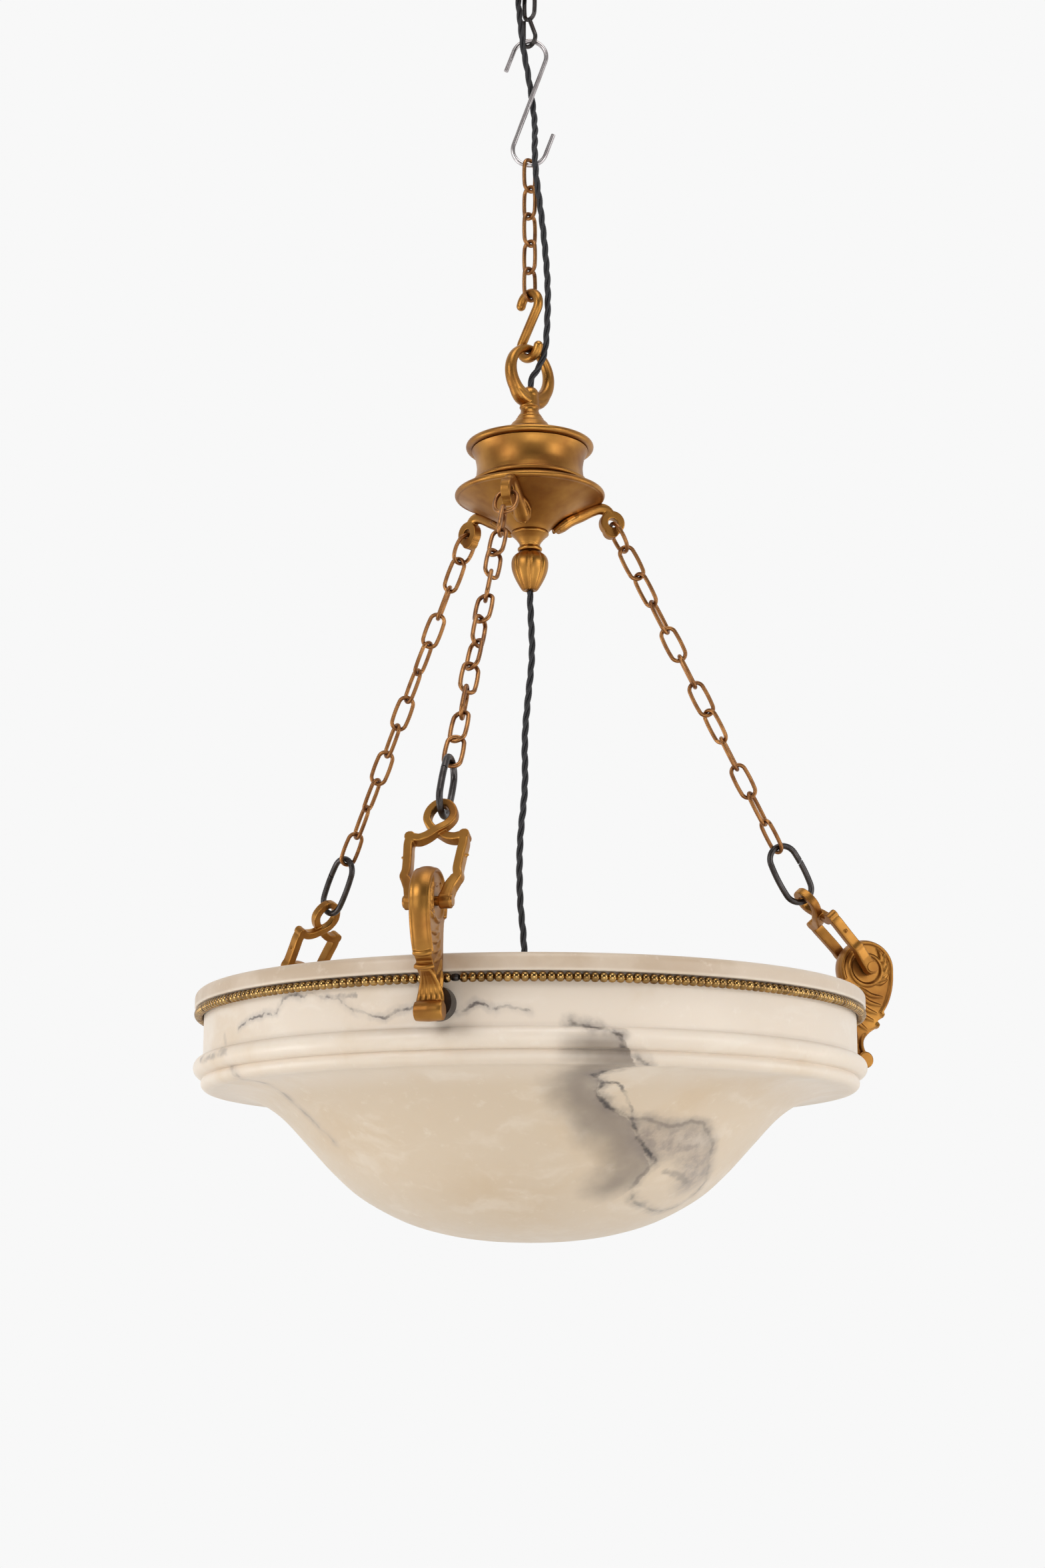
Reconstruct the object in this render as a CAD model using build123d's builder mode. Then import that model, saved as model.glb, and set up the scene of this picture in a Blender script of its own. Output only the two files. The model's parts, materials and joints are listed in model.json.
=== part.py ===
"""An alabaster bowl light on three chains, with its gallery, hooks, flex and lamp. Millimetres."""
import os
from math import asin, atan2, cos, degrees, pi, radians, sin, sqrt, tan

from build123d import *

os.makedirs("parts", exist_ok=True)

# Fits
gap = 0.25          # between pieces that hang in one another
skew_gap = 0.8      # where they cross at less than a right angle
seat = 0.1          # round a piece that is screwed or pushed home
run_fit = 0.15      # round a pivot pin

# Directions: the three stations of the bowl, and the way the top hardware faces
stations = {"front": -90, "right": 30, "left": 150}
facing = 14.2                      # the wire hook, degrees from +X
cross_a = facing - 45              # the upper hook, every second link and the cast hook
cross_b = facing + 45              # the links between them and the hanging loop

# Ceiling fitting
plate_radius = 42.0
plate_depth = 14.0
plate_wall = 3.0
plate_crown = 24.0                 # radius of the plate's flat underside
plate_holes_pcd = 75.0
plate_hole = 4.5
plate_hole_count = 3
staple_wire = 5.0
staple_width = 26.0                # between the leg centres
staple_drop = 37.0                 # ceiling to the lowest wire centre
staple_nut = 9.0                   # across flats
staple_nut_depth = 4.0
bush_radius = 5.5
bush_depth = 6.0
bush_place = (-9.0, 0.0)           # to the right of the wire hook, and towards the viewer

# Upper hook, wire hook and cast hook
hook_wire = 3.2
hook_bend = 6.0                    # bend radius at the wire centre
hook_reach = 45.6                  # wire centre of the eye's top to that of the bend
hook_eye_long = 27.0
hook_eye_wide = 14.0
hook_tip = 16.0
wire_hook_wire = 3.3
wire_hook_bend = 12.3
wire_hook_reach = 98.6
wire_hook_tip = 17.0
cast_hook_bar = 6.8
cast_hook_bend = 8.8
cast_hook_reach = 49.2
cast_hook_tip = 1.5
tip_slope = 20.0                   # a hook's tip leans this far from upright

# Chain links
link_wire = 2.9
link_wide = 14.0
top_link_inner = 21.4              # inside length
top_link_count = 5
chain_link_inner = 22.2
chain_link_count = 12
ring_link_inner = 19.0             # the rounder first link of each chain
ring_link_wide = 18.4
split_link_wire = 4.3
split_link_inner = 38.4
split_link_wide = 26.0
split_width = 0.8
link_end_share = 0.94              # a link's end radius over its half width

# Hanging loop and gallery, from the top down
loop_radius = 23.0
loop_bar_top = 5.7
loop_eye_radius = 15.1
loop_depth = 7.5
loop_round = 2.8
loop_gap = 0.5                     # the loop's bar over the cast hook
ball_radius = 6.5
ball_rise = 8.0                    # ball centre over the loop's lowest point
neck_radius = 5.7
neck_length = 5.0
neck_foot = 4.5                    # length of the flared foot under the neck
neck_foot_radius = 7.4
cap_boss_radius = 11.3
cap_boss_rise = 3.6
cap_step_radius = 15.2
cap_step_rise = 5.6
cap_cone_rise = 10.2
cap_radius = 45.6
cap_rim = 5.1
cap_wall = 2.0
drum_top_radius = 41.5
drum_waist_radius = 37.8
drum_foot_radius = 40.0
drum_height = 27.0
drum_wall = 2.0
flange_radius = 53.4
flange_lip = 2.2                   # radius of the flange's edge
flange_fall = 4.5                  # the flange's slope, from the drum to its lip
cone_height = 33.5
cone_wall = 2.5
cone_low_radius = 13.0
collar_radius = 13.5
collar_height = 15.0
collar_neck_radius = 6.5
collar_ring_radius = 8.7
finial_height = 28.0
finial_radius = 13.3
finial_tip_radius = 4.8
finial_lobes = 8
tube_radius = 4.6
tube_bore = 3.1
nut_flats = 14.0
nut_depth = 4.0
flex_diameter = 4.8
flex_bore = 2.7                    # radius of the holes that the flex passes

# Gallery arms
arm_eye_out = 61.0                 # hole centre from the axis
arm_eye_below = 22.0               # hole centre under the flange
arm_eye_radius = 8.9
arm_hole = 3.3
arm_drop = 6.0                     # the eye's drop, under the hole
arm_drop_radius = 5.4
arm_thick = 6.6
arm_pad_wide = 12.0
arm_screw_radius = 1.5
arm_link_shift = 0.3               # the first link's wire from the hole centre

# Shackles
shackle_lean = {"front": 25.0, "right": 42.0, "left": 34.0}    # from upright, towards the axis
shackle_reach = 65.0               # pin to the split link's wire centre
shackle_thick = 8.0
shackle_bar = 4.5
shackle_loop_half = 9.8
shackle_hole_half = 5.5
shackle_loop_thick = 6.5           # the loop is thinner than the legs
shackle_loop_round = 2.1
shackle_play = 1.1                 # between the loop and the split link
shackle_shift = {"front": 0.6, "right": -1.3, "left": -0.3}    # the split link's wire, out from its middle
shackle_hole_long = 18.0
shackle_boss = 5.2
shackle_leg_in = 7.0               # half the gap between the legs at the pin
shackle_leg = 6.8

# Bowl
bowl_wall_radius = 221.0           # outside, behind the beads
bowl_wall = 12.0
rim_lip = 6.3                      # rim out from the wall
bowl_rim_top = 15.0                # over the bead line
bowl_rim_low = 3.5
bowl_floor = 13.0
rim_round = 5.0
roll_top = -29.5
roll_mid = -42.5
roll_low = -51.5
roll_bulge = 6.5                   # upper roll out from the wall
low_roll_bulge = 1.0
low_roll_tuck = 5.0                # foot of the lower roll in from the wall
ogee = ((42, -59.5), (71, -86), (109, -122))    # in from the wall, from the bead line
hollow_shoulder = -28.0            # foot of the upright inner wall
hollow = ((104, -112), (59.5, -68.5), (33, -48), (9, -39.5))    # in from the inner wall
bowl_depth = 150.4                 # bead line to the lowest point

# Bead band
bead_radius = 3.15
bead_long = 5.0
bead_count = 268
bead_end_radius = 2.2
bead_barrel = 2.4                  # length at full width
bead_gap = 0.3

# Brackets
spacer_thick = 11.0
spacer_radius = 10.4
bracket_bolt_below = 15.5          # under the bead line
pin_out = 15.0                     # pin from the bracket's back face
pin_up = 58.5                      # pin over the bolt
pin_radius = 3.0
volute_radius = 20.0
bracket_wide = 12.6
foot_wide = 17.0
bolt_radius = 3.0
bolt_head_radius = 5.5
bolt_head_depth = 4.0
bolt_grip = 8.0                    # thread inside the bracket
washer_radius = 9.5
washer_thick = 1.6

# Lamp
lamp_offset = (-4.0, 0.0)          # to the right of the wire hook, and towards the viewer
lamp_top_over_bead = 40.0
lamp_cap_height = 16.0
lamp_cap_radius = 13.0
holder_height = 34.0
holder_radius = 16.5
holder_wall = 1.6
holder_ring_radius = 21.0
holder_ring_depth = 6.0
bulb_cap_radius = 11.0
bulb_cap_height = 25.0
bulb_cap_in = 21.0                 # how deep the bulb's cap sits in the holder
bulb_radius = 30.0
bulb_glass_height = 84.0
bulb_wall = 0.8


def heading(angle):
    """The level unit vector at this angle from +X."""
    return Vector(cos(radians(angle)), sin(radians(angle)), 0)


def upright(angle, height=0.0):
    """The upright plane through the axis: its x runs along the heading, its y runs up."""
    return Plane(origin=(0, 0, height), x_dir=heading(angle), z_dir=heading(angle - 90))


def viewed(right, near, height):
    """A point given to the right of the wire hook, towards the viewer, and by its height."""
    return heading(facing) * right + heading(facing - 90) * near + Vector(0, 0, height)


def oval(half_long, half_wide):
    """An oval of four arcs, long way up, drawn in the current plane."""
    end = half_wide * link_end_share
    side = (half_wide**2 + (half_long - end) ** 2 - end**2) / (2 * (half_wide - end))
    turn = degrees(atan2(half_long - end, side - half_wide))
    CenterArc((half_wide - side, 0), side, -turn, 2 * turn)
    CenterArc((0, half_long - end), end, turn, 180 - 2 * turn)
    CenterArc((side - half_wide, 0), side, 180 - turn, 2 * turn)
    CenterArc((0, end - half_long), end, 180 + turn, 180 - 2 * turn)


def link(plane, inner, wide, wire):
    """One chain link, centred on the plane's origin, with its long way along the plane's y."""
    with BuildPart() as piece:
        with BuildLine(plane) as route:
            oval((inner + wire) / 2, (wide - wire) / 2)
        with BuildSketch(Plane(origin=route.wire() @ 0, z_dir=route.wire() % 0)):
            Circle(wire / 2)
        sweep(path=route.wire())
    return piece


def double_hook(plane, bend, reach, tip, wire, rounded):
    """An S-shaped hook: the plane's origin is the wire centre of its upper bend."""
    half = (reach - 2 * bend) / 2
    slant = degrees(asin(bend / half))
    sweep_angle = 180 - tip_slope + slant
    low = -reach + bend
    with BuildPart() as piece:
        with BuildLine(plane) as route:
            upper = CenterArc((0, -bend), bend, 180 - tip_slope, -sweep_angle)
            lower = CenterArc((0, low), bend, 180 - slant, sweep_angle)
            Line(upper @ 1, lower @ 0)
            first = Line(upper @ 0, upper @ 0 - (upper % 0) * tip)
            last = Line(lower @ 1, lower @ 1 + (lower % 1) * tip)
        ends = (first @ 1, last @ 1)
        with BuildSketch(Plane(origin=ends[0], z_dir=first % 1)):
            Circle(wire / 2)
        sweep(path=route.wire())
        if rounded:
            with Locations(*ends):
                Sphere(wire / 2)
    return piece


def keep(part, name):
    """Label a finished piece and write it."""
    part.label = name
    export_step(part, f"parts/{name}.step")


# Heights of the hanging pieces, ceiling face at 0
staple_low = -staple_drop
hook_top = staple_low + (staple_wire + hook_wire) / 2 + gap
hook_low = hook_top - hook_reach
wire_hook_top = hook_low + (hook_wire + wire_hook_wire) / 2 + skew_gap
wire_hook_low = wire_hook_top - wire_hook_reach
top_link_step = top_link_inner - gap
first_link_top = wire_hook_low + (wire_hook_wire + link_wire) / 2 + skew_gap
last_link_low = first_link_top - (top_link_count - 1) * top_link_step - top_link_inner - link_wire
cast_hook_top = last_link_low + (link_wire + cast_hook_bar) / 2 + gap
cast_hook_low = cast_hook_top - cast_hook_reach
loop_top = cast_hook_low + cast_hook_bar / 2 + loop_gap + loop_bar_top
loop_low = loop_top - 2 * loop_radius
ball_height = loop_low + ball_rise
neck_low = loop_low - neck_length - neck_foot
cap_step_top = neck_low - cap_boss_rise
cap_cone_top = cap_step_top - cap_step_rise
cap_rim_top = cap_cone_top - cap_cone_rise
drum_top = cap_rim_top - cap_rim
flange_top = drum_top - drum_height
cone_low = flange_top - cone_height
collar_low = cone_low - collar_height
finial_low = collar_low - finial_height
arm_eye_height = flange_top - arm_eye_below

# The chains: distances along the chain from the arm's hole to each wire centre
ring_low = arm_link_shift + ring_link_inner + link_wire
chain_step = chain_link_inner - gap
chain_end = split_link_inner + split_link_wire / 2 - link_wire / 2 - gap
chain_length = ring_low + (chain_link_count - 1) * chain_step + chain_end
bowl_rim_radius = bowl_wall_radius + rim_lip
bowl_inner_radius = bowl_wall_radius - bowl_wall
roll_radius = bowl_wall_radius + roll_bulge
bracket_back = bowl_wall_radius + spacer_thick
pin_from_axis = bracket_back + pin_out


def hang_from_pin(name):
    """The split link's lowest wire centre from the pin: in towards the axis, and up."""
    lean = radians(shackle_lean[name])
    inward = shackle_reach * sin(lean) - shackle_shift[name] * cos(lean)
    return inward, shackle_reach * cos(lean) + shackle_shift[name] * sin(lean)


# The right chain has links of the stated size and sets the bowl's height
right_in, right_up = hang_from_pin("right")
right_out = pin_from_axis - right_in - arm_eye_out
pin_height = arm_eye_height - sqrt(chain_length**2 - right_out**2) - right_up
chain_slope = {}
chain_steps = {}
for name in stations:
    hang_in, hang_up = hang_from_pin(name)
    reach_out = pin_from_axis - hang_in - arm_eye_out
    reach_down = arm_eye_height - pin_height - hang_up
    chain_slope[name] = degrees(atan2(reach_out, reach_down))
    chain_steps[name] = (sqrt(reach_out**2 + reach_down**2) - ring_low - chain_end) / (chain_link_count - 1)
bolt_height = pin_height - pin_up
bead_height = bolt_height + bracket_bolt_below

# Ceiling plate: a dished rose with its rim on the ceiling
staple_legs = [heading(cross_b) * (side * staple_width / 2) for side in (-1, 1)]
bush_at = viewed(*bush_place, 0)
with BuildPart() as ceiling_plate:
    with BuildSketch(Plane.XZ):
        with BuildLine():
            edge = Polyline(
                (0, -plate_depth + plate_wall),
                (plate_crown - plate_wall, -plate_depth + plate_wall),
                (plate_radius - 3 * plate_wall, 0),
                (plate_radius, 0),
                (plate_radius, -plate_wall),
            )
            Line((plate_radius, -plate_wall), (plate_radius - 2 * plate_wall, -plate_wall))
            Spline(
                (plate_radius - 2 * plate_wall, -plate_wall),
                (plate_crown, -plate_depth),
                tangents=((-1, -0.2), (-1, 0)),
            )
            Polyline((plate_crown, -plate_depth), (0, -plate_depth), edge @ 0)
        make_face()
    revolve(axis=Axis.Z)
    with BuildSketch(Plane.XY):
        with Locations(*[(leg.X, leg.Y) for leg in staple_legs]):
            Circle(staple_wire / 2 + seat)
        with Locations((bush_at.X, bush_at.Y)):
            Circle(bush_radius - 2 + seat)
    extrude(amount=-plate_depth, mode=Mode.SUBTRACT)
    with BuildSketch(Plane.XY):
        with PolarLocations(plate_holes_pcd / 2, plate_hole_count, start_angle=facing):
            Circle(plate_hole / 2)
    extrude(amount=-plate_depth, mode=Mode.SUBTRACT)
keep(ceiling_plate.part, "ceiling_plate")

# Staple: a bent rod whose two threaded legs pass the plate and hold a nut each
staple_leg_top = -plate_depth + plate_wall + staple_nut_depth + 2
staple_bend = staple_width / 2
with BuildPart() as ceiling_staple:
    with BuildLine(upright(cross_b)) as route:
        left_leg = Line((-staple_bend, staple_leg_top), (-staple_bend, staple_low + staple_bend))
        CenterArc((0, staple_low + staple_bend), staple_bend, 180, 180)
        Line((staple_bend, staple_low + staple_bend), (staple_bend, staple_leg_top))
    with BuildSketch(Plane(origin=left_leg @ 0, z_dir=left_leg % 0)):
        Circle(staple_wire / 2)
    sweep(path=route.wire())
keep(ceiling_staple.part, "ceiling_staple")

with BuildPart() as staple_nuts:
    with BuildSketch(Plane.XY.offset(-plate_depth + plate_wall)):
        with Locations(*[(leg.X, leg.Y) for leg in staple_legs]):
            RegularPolygon(staple_nut / 2, 6, major_radius=False)
            Circle(staple_wire / 2 + seat, mode=Mode.SUBTRACT)
    extrude(amount=staple_nut_depth)
keep(staple_nuts.part, "staple_nuts")

# Cord grip: a bush pushed up into the plate, with a collar under it
with BuildPart() as flex_bush:
    with BuildSketch(Plane.XY.offset(-plate_depth)):
        with Locations((bush_at.X, bush_at.Y)):
            Circle(bush_radius)
    extrude(amount=-bush_depth, taper=12)
    with BuildSketch(Plane.XY.offset(-plate_depth)):
        with Locations((bush_at.X, bush_at.Y)):
            Circle(bush_radius - 2)
    extrude(amount=plate_wall + 2)
    with BuildSketch(Plane.XY):
        with Locations((bush_at.X, bush_at.Y)):
            Circle(flex_diameter / 2 + seat)
    extrude(amount=-2 * plate_depth, mode=Mode.SUBTRACT)
keep(flex_bush.part, "flex_bush")

# Upper hook: an eye that hangs on the staple, a slanted shank and an open bend
eye_low = hook_top - hook_eye_long + hook_wire
bend_height = hook_low + hook_bend
lean = asin(hook_bend / (eye_low - bend_height))
with BuildPart() as upper_hook:
    with BuildLine(upright(cross_a)) as route:
        bend = CenterArc((0, bend_height), hook_bend, 180, 180 + degrees(lean))
        Line(bend @ 1, (0, eye_low))
        tip = Line(bend @ 0, (-hook_bend, bend_height + hook_tip))
    with BuildSketch(Plane(origin=tip @ 1, z_dir=tip % 1)):
        Circle(hook_wire / 2)
    sweep(path=route.wire())
    with BuildLine(upright(cross_a, hook_top - (hook_eye_long - hook_wire) / 2)) as eye:
        oval((hook_eye_long - hook_wire) / 2, (hook_eye_wide - hook_wire) / 2)
    with BuildSketch(Plane(origin=eye.wire() @ 0, z_dir=eye.wire() % 0)):
        Circle(hook_wire / 2)
    sweep(path=eye.wire())
keep(upper_hook.part, "upper_hook")

# Wire hook, five top links and the cast hook
wire_hook = double_hook(
    upright(facing, wire_hook_top), wire_hook_bend, wire_hook_reach, wire_hook_tip, wire_hook_wire, False
)
keep(wire_hook.part, "wire_hook")

for number in range(top_link_count):
    centre = first_link_top - number * top_link_step - (top_link_inner + link_wire) / 2
    angle = cross_a if number % 2 else cross_b
    top_link = link(upright(angle, centre), top_link_inner, link_wide, link_wire)
    keep(top_link.part, f"top_link_{number + 1}")

cast_hook = double_hook(
    upright(cross_a, cast_hook_top), cast_hook_bend, cast_hook_reach, cast_hook_tip, cast_hook_bar, True
)
keep(cast_hook.part, "cast_hook")

# Hanging loop: an eccentric ring on a bored ball, with a flared neck
loop_eye_height = loop_top - loop_bar_top - loop_eye_radius
with BuildPart() as hanging_loop:
    with BuildSketch(upright(cross_b)):
        with Locations((0, loop_top - loop_radius)):
            Circle(loop_radius)
        with Locations((0, loop_eye_height)):
            Circle(loop_eye_radius, mode=Mode.SUBTRACT)
    extrude(amount=loop_depth / 2, both=True)
    fillet(hanging_loop.edges(), loop_round)
    with Locations((0, 0, ball_height)):
        Sphere(ball_radius)
    with BuildSketch(Plane.XZ):
        with BuildLine():
            Polyline(
                (0, ball_height),
                (neck_radius, ball_height),
                (neck_radius, neck_low + neck_foot),
            )
            Spline(
                (neck_radius, neck_low + neck_foot),
                (neck_foot_radius, neck_low),
                tangents=((0, -1), (1, -0.6)),
            )
            Polyline((neck_foot_radius, neck_low), (0, neck_low), (0, ball_height))
        make_face()
    revolve(axis=Axis.Z)
    with BuildSketch(Plane.XY.offset(neck_low)):
        Circle(tube_radius + seat)
    extrude(amount=neck_length, mode=Mode.SUBTRACT)
    with BuildSketch(Plane.XY.offset(neck_low)):
        Circle(flex_bore)
    extrude(amount=ball_height + ball_radius + 1 - neck_low, mode=Mode.SUBTRACT)
keep(hanging_loop.part, "hanging_loop")

# Gallery cap: a spun disc with a rolled rim and a stepped boss
with BuildPart() as gallery_cap:
    with BuildSketch(Plane.XZ):
        with BuildLine():
            Polyline(
                (tube_radius + seat, neck_low),
                (cap_boss_radius - 2, neck_low),
                (cap_boss_radius, cap_step_top),
                (cap_step_radius - 2, cap_cone_top + 1),
                (cap_step_radius, cap_cone_top),
            )
            Spline(
                (cap_step_radius, cap_cone_top),
                (cap_radius - cap_rim / 2, cap_rim_top),
                tangents=((1, -0.5), (1, -0.1)),
            )
            ThreePointArc(
                (cap_radius - cap_rim / 2, cap_rim_top),
                (cap_radius, cap_rim_top - cap_rim / 2),
                (cap_radius - cap_rim / 2, drum_top),
            )
            Polyline(
                (cap_radius - cap_rim / 2, drum_top),
                (drum_top_radius - drum_wall - 2, drum_top),
                (drum_top_radius - drum_wall - 4, cap_rim_top - cap_wall),
                (cap_step_radius, cap_cone_top - cap_wall),
                (tube_radius + seat, cap_cone_top - cap_wall),
                (tube_radius + seat, neck_low),
            )
        make_face()
    revolve(axis=Axis.Z)
keep(gallery_cap.part, "gallery_cap")

# Gallery drum: a waisted tube with a round moulding at its foot
foot_round = 2.2
drum_seat = flange_top
with BuildPart() as gallery_drum:
    with BuildSketch(Plane.XZ):
        with BuildLine():
            Line((drum_top_radius - drum_wall, drum_top), (drum_top_radius, drum_top))
            Spline(
                (drum_top_radius, drum_top),
                (drum_waist_radius, drum_seat + drum_height * 0.5),
                (drum_foot_radius - foot_round / 2, drum_seat + 2 * foot_round),
                tangents=((-0.2, -1), (0.35, -1)),
            )
            ThreePointArc(
                (drum_foot_radius - foot_round / 2, drum_seat + 2 * foot_round),
                (drum_foot_radius + foot_round / 2, drum_seat + foot_round),
                (drum_foot_radius - foot_round / 2, drum_seat),
            )
            Line(
                (drum_foot_radius - foot_round / 2, drum_seat),
                (drum_foot_radius - foot_round / 2 - drum_wall, drum_seat),
            )
            Spline(
                (drum_foot_radius - foot_round / 2 - drum_wall, drum_seat),
                (drum_waist_radius - drum_wall, drum_seat + drum_height * 0.5),
                (drum_top_radius - drum_wall, drum_top),
            )
        make_face()
    revolve(axis=Axis.Z)
keep(gallery_drum.part, "gallery_drum")

# Gallery cone: a flange over an ogee that runs in to the collar
lip_top = flange_top - flange_fall
cone_shoulder = (flange_radius - 12, lip_top - 9)
cone_sweep = (cone_low_radius + 10, cone_low + 9)
drum_rest = drum_foot_radius + foot_round


def cone_outline():
    """The cone's underside, from the flange's lip to the collar."""
    ThreePointArc(
        (flange_radius - flange_lip, lip_top),
        (flange_radius, lip_top - flange_lip),
        (flange_radius - flange_lip / 2, lip_top - 2 * flange_lip),
    )
    Spline(
        (flange_radius - flange_lip / 2, lip_top - 2 * flange_lip),
        cone_shoulder,
        cone_sweep,
        (cone_low_radius, cone_low),
        tangents=((-1, -0.9), (-1, -0.9)),
    )


def cone_inside():
    """The cone's inner wall, from the collar up to the flange."""
    Spline(
        (cone_low_radius - cone_wall, cone_low + cone_wall),
        (cone_sweep[0] - cone_wall, cone_sweep[1] + cone_wall),
        (cone_shoulder[0] - cone_wall, cone_shoulder[1] + cone_wall),
        (drum_foot_radius - 2 * foot_round, flange_top),
    )


with BuildPart() as gallery_cone:
    with BuildSketch(Plane.XZ):
        with BuildLine():
            cone_outline()
            Polyline(
                (cone_low_radius, cone_low),
                (tube_radius + seat, cone_low),
                (tube_radius + seat, cone_low + cone_wall),
                (cone_low_radius - cone_wall, cone_low + cone_wall),
            )
            cone_inside()
            Polyline(
                (drum_foot_radius - 2 * foot_round, flange_top),
                (drum_rest, flange_top),
                (flange_radius - flange_lip, lip_top),
            )
        make_face()
    revolve(axis=Axis.Z)
    for angle in stations.values():
        with Locations(Location((0, 0, 0), (0, 0, angle))):
            with Locations(Location((cone_sweep[0] + 6, 0, cone_sweep[1] + 6), (0, -45, 0))):
                Cylinder(arm_screw_radius + seat, 24, mode=Mode.SUBTRACT)

# The space under the cone's outer face, which the arms are cut back to
with BuildPart() as cone_space:
    with BuildSketch(Plane.XZ):
        with BuildLine():
            cone_outline()
            Polyline(
                (cone_low_radius, cone_low),
                (0, cone_low),
                (0, flange_top),
                (drum_rest, flange_top),
                (flange_radius - flange_lip, lip_top),
            )
        make_face()
    revolve(axis=Axis.Z)
    offset(amount=seat)
keep(gallery_cone.part, "gallery_cone")

# Arms: flat S curves under the flange, each with an eye for its chain
eye_x = arm_eye_out
eye_y = arm_eye_height
pad_in = cone_low_radius + 7.5
with BuildPart() as arm:
    with BuildSketch(upright(0)):
        with BuildLine():
            Spline(
                (pad_in, eye_y - 8.5),
                (eye_x - 34, eye_y + 4),
                (eye_x - 16.5, eye_y + 14.6),
                (eye_x - 4, eye_y + 14.2),
                (eye_x + arm_eye_radius - 1, eye_y + 3.5),
                tangents=((0.3, 1), (0.3, -1)),
            )
            Line((eye_x + arm_eye_radius - 1, eye_y + 3.5), (eye_x - arm_eye_radius + 1, eye_y + 3.5))
            Spline(
                (eye_x - arm_eye_radius + 1, eye_y + 3.5),
                (eye_x - 11.8, eye_y + 7.6),
                (eye_x - 15.3, eye_y + 4.7),
                (eye_x - 24, eye_y - 1.6),
                (pad_in, eye_y - 8.5),
                tangents=((-0.3, 1), (-1, -0.1)),
            )
        make_face()
        with Locations((eye_x, eye_y)):
            Circle(arm_eye_radius)
        with Locations((eye_x, eye_y - arm_drop)):
            Circle(arm_drop_radius)
    extrude(amount=arm_thick / 2, both=True)
    with BuildSketch(upright(0)):
        with Locations((pad_in + 6.5, eye_y - 1.5)):
            Ellipse(11, 5, rotation=48)
    extrude(amount=arm_pad_wide / 2, both=True)
    with BuildSketch(upright(0)):
        with Locations((eye_x, eye_y)):
            Circle(arm_hole)
    extrude(amount=arm_pad_wide, both=True, mode=Mode.SUBTRACT)
    add(cone_space.part, mode=Mode.SUBTRACT)
    with Locations(Location((cone_sweep[0] + 6, 0, cone_sweep[1] + 6), (0, -45, 0))):
        Cylinder(arm_screw_radius + seat, 24, mode=Mode.SUBTRACT)
for name, angle in stations.items():
    keep(arm.part.rotate(Axis.Z, angle), f"arm_{name}")

# Arm screws: countersunk from inside the cone
with BuildPart() as arm_screws:
    for angle in stations.values():
        with Locations(Location((0, 0, 0), (0, 0, angle))):
            with Locations(Location((cone_sweep[0] + 6, 0, cone_sweep[1] + 6), (0, -45, 0))):
                Cylinder(arm_screw_radius, 14)
keep(arm_screws.part, "arm_screws")

# Collar under the cone: a cup moulding, a neck and a ring
with BuildPart() as gallery_collar:
    with BuildSketch(Plane.XZ):
        with BuildLine():
            Polyline(
                (tube_radius + seat, cone_low),
                (collar_radius - 1, cone_low),
                (collar_radius, cone_low - 1),
                (collar_radius - 0.5, cone_low - 2),
            )
            Spline(
                (collar_radius - 0.5, cone_low - 2),
                (collar_neck_radius + 1.5, cone_low - collar_height * 0.45),
                (collar_neck_radius, cone_low - collar_height * 0.6),
                tangents=((-0.6, -1), (0, -1)),
            )
            Polyline(
                (collar_neck_radius, cone_low - collar_height * 0.6),
                (collar_neck_radius, cone_low - collar_height * 0.75),
            )
            ThreePointArc(
                (collar_neck_radius, cone_low - collar_height * 0.75),
                (collar_ring_radius, cone_low - collar_height * 0.875),
                (collar_neck_radius, collar_low),
            )
            Polyline(
                (collar_neck_radius, collar_low),
                (tube_radius + seat, collar_low),
                (tube_radius + seat, cone_low),
            )
        make_face()
    revolve(axis=Axis.Z)
keep(gallery_collar.part, "gallery_collar")

# Finial: a lobed bud, bored for the flex and screwed on the tube
with BuildPart() as finial:
    with BuildSketch(Plane.XZ):
        with BuildLine():
            Spline(
                (collar_neck_radius, collar_low),
                (finial_radius - 1.2, collar_low - finial_height * 0.25),
                (finial_radius - 2.6, collar_low - finial_height * 0.55),
                (finial_tip_radius, finial_low),
                tangents=((1, -0.15), (-0.55, -1)),
            )
            Polyline(
                (finial_tip_radius, finial_low),
                (0, finial_low),
                (0, collar_low),
                (collar_neck_radius, collar_low),
            )
        make_face()
    revolve(axis=Axis.Z)
    with PolarLocations(0, finial_lobes, start_angle=facing):
        with BuildSketch(Plane.XZ):
            with BuildLine():
                Spline(
                    (collar_neck_radius, collar_low - 0.5),
                    (finial_radius, collar_low - finial_height * 0.28),
                    (finial_radius - 1.8, collar_low - finial_height * 0.55),
                    (finial_tip_radius + 0.4, finial_low + 0.5),
                    tangents=((1, -0.15), (-0.5, -1)),
                )
                Polyline(
                    (finial_tip_radius + 0.4, finial_low + 0.5),
                    (collar_neck_radius - 2, finial_low + finial_height / 2),
                    (collar_neck_radius, collar_low - 0.5),
                )
            make_face()
        extrude(amount=finial_radius * 0.22, both=True)
    with BuildSketch(Plane.XY.offset(collar_low)):
        Circle(tube_radius + seat)
    extrude(amount=-finial_height * 0.5, mode=Mode.SUBTRACT)
    with BuildSketch(Plane.XY.offset(collar_low)):
        Circle(flex_bore)
    extrude(amount=-finial_height, mode=Mode.SUBTRACT)
keep(finial.part, "finial")

# Centre tube, which carries the gallery from the loop's neck to the finial, and its two nuts
tube_top = neck_low + neck_length - seat
tube_low = collar_low - finial_height * 0.5 + seat
with BuildPart() as centre_tube:
    with BuildSketch(Plane.XY.offset(tube_low)):
        Circle(tube_radius)
        Circle(tube_bore, mode=Mode.SUBTRACT)
    extrude(amount=tube_top - tube_low)
keep(centre_tube.part, "centre_tube")

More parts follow.
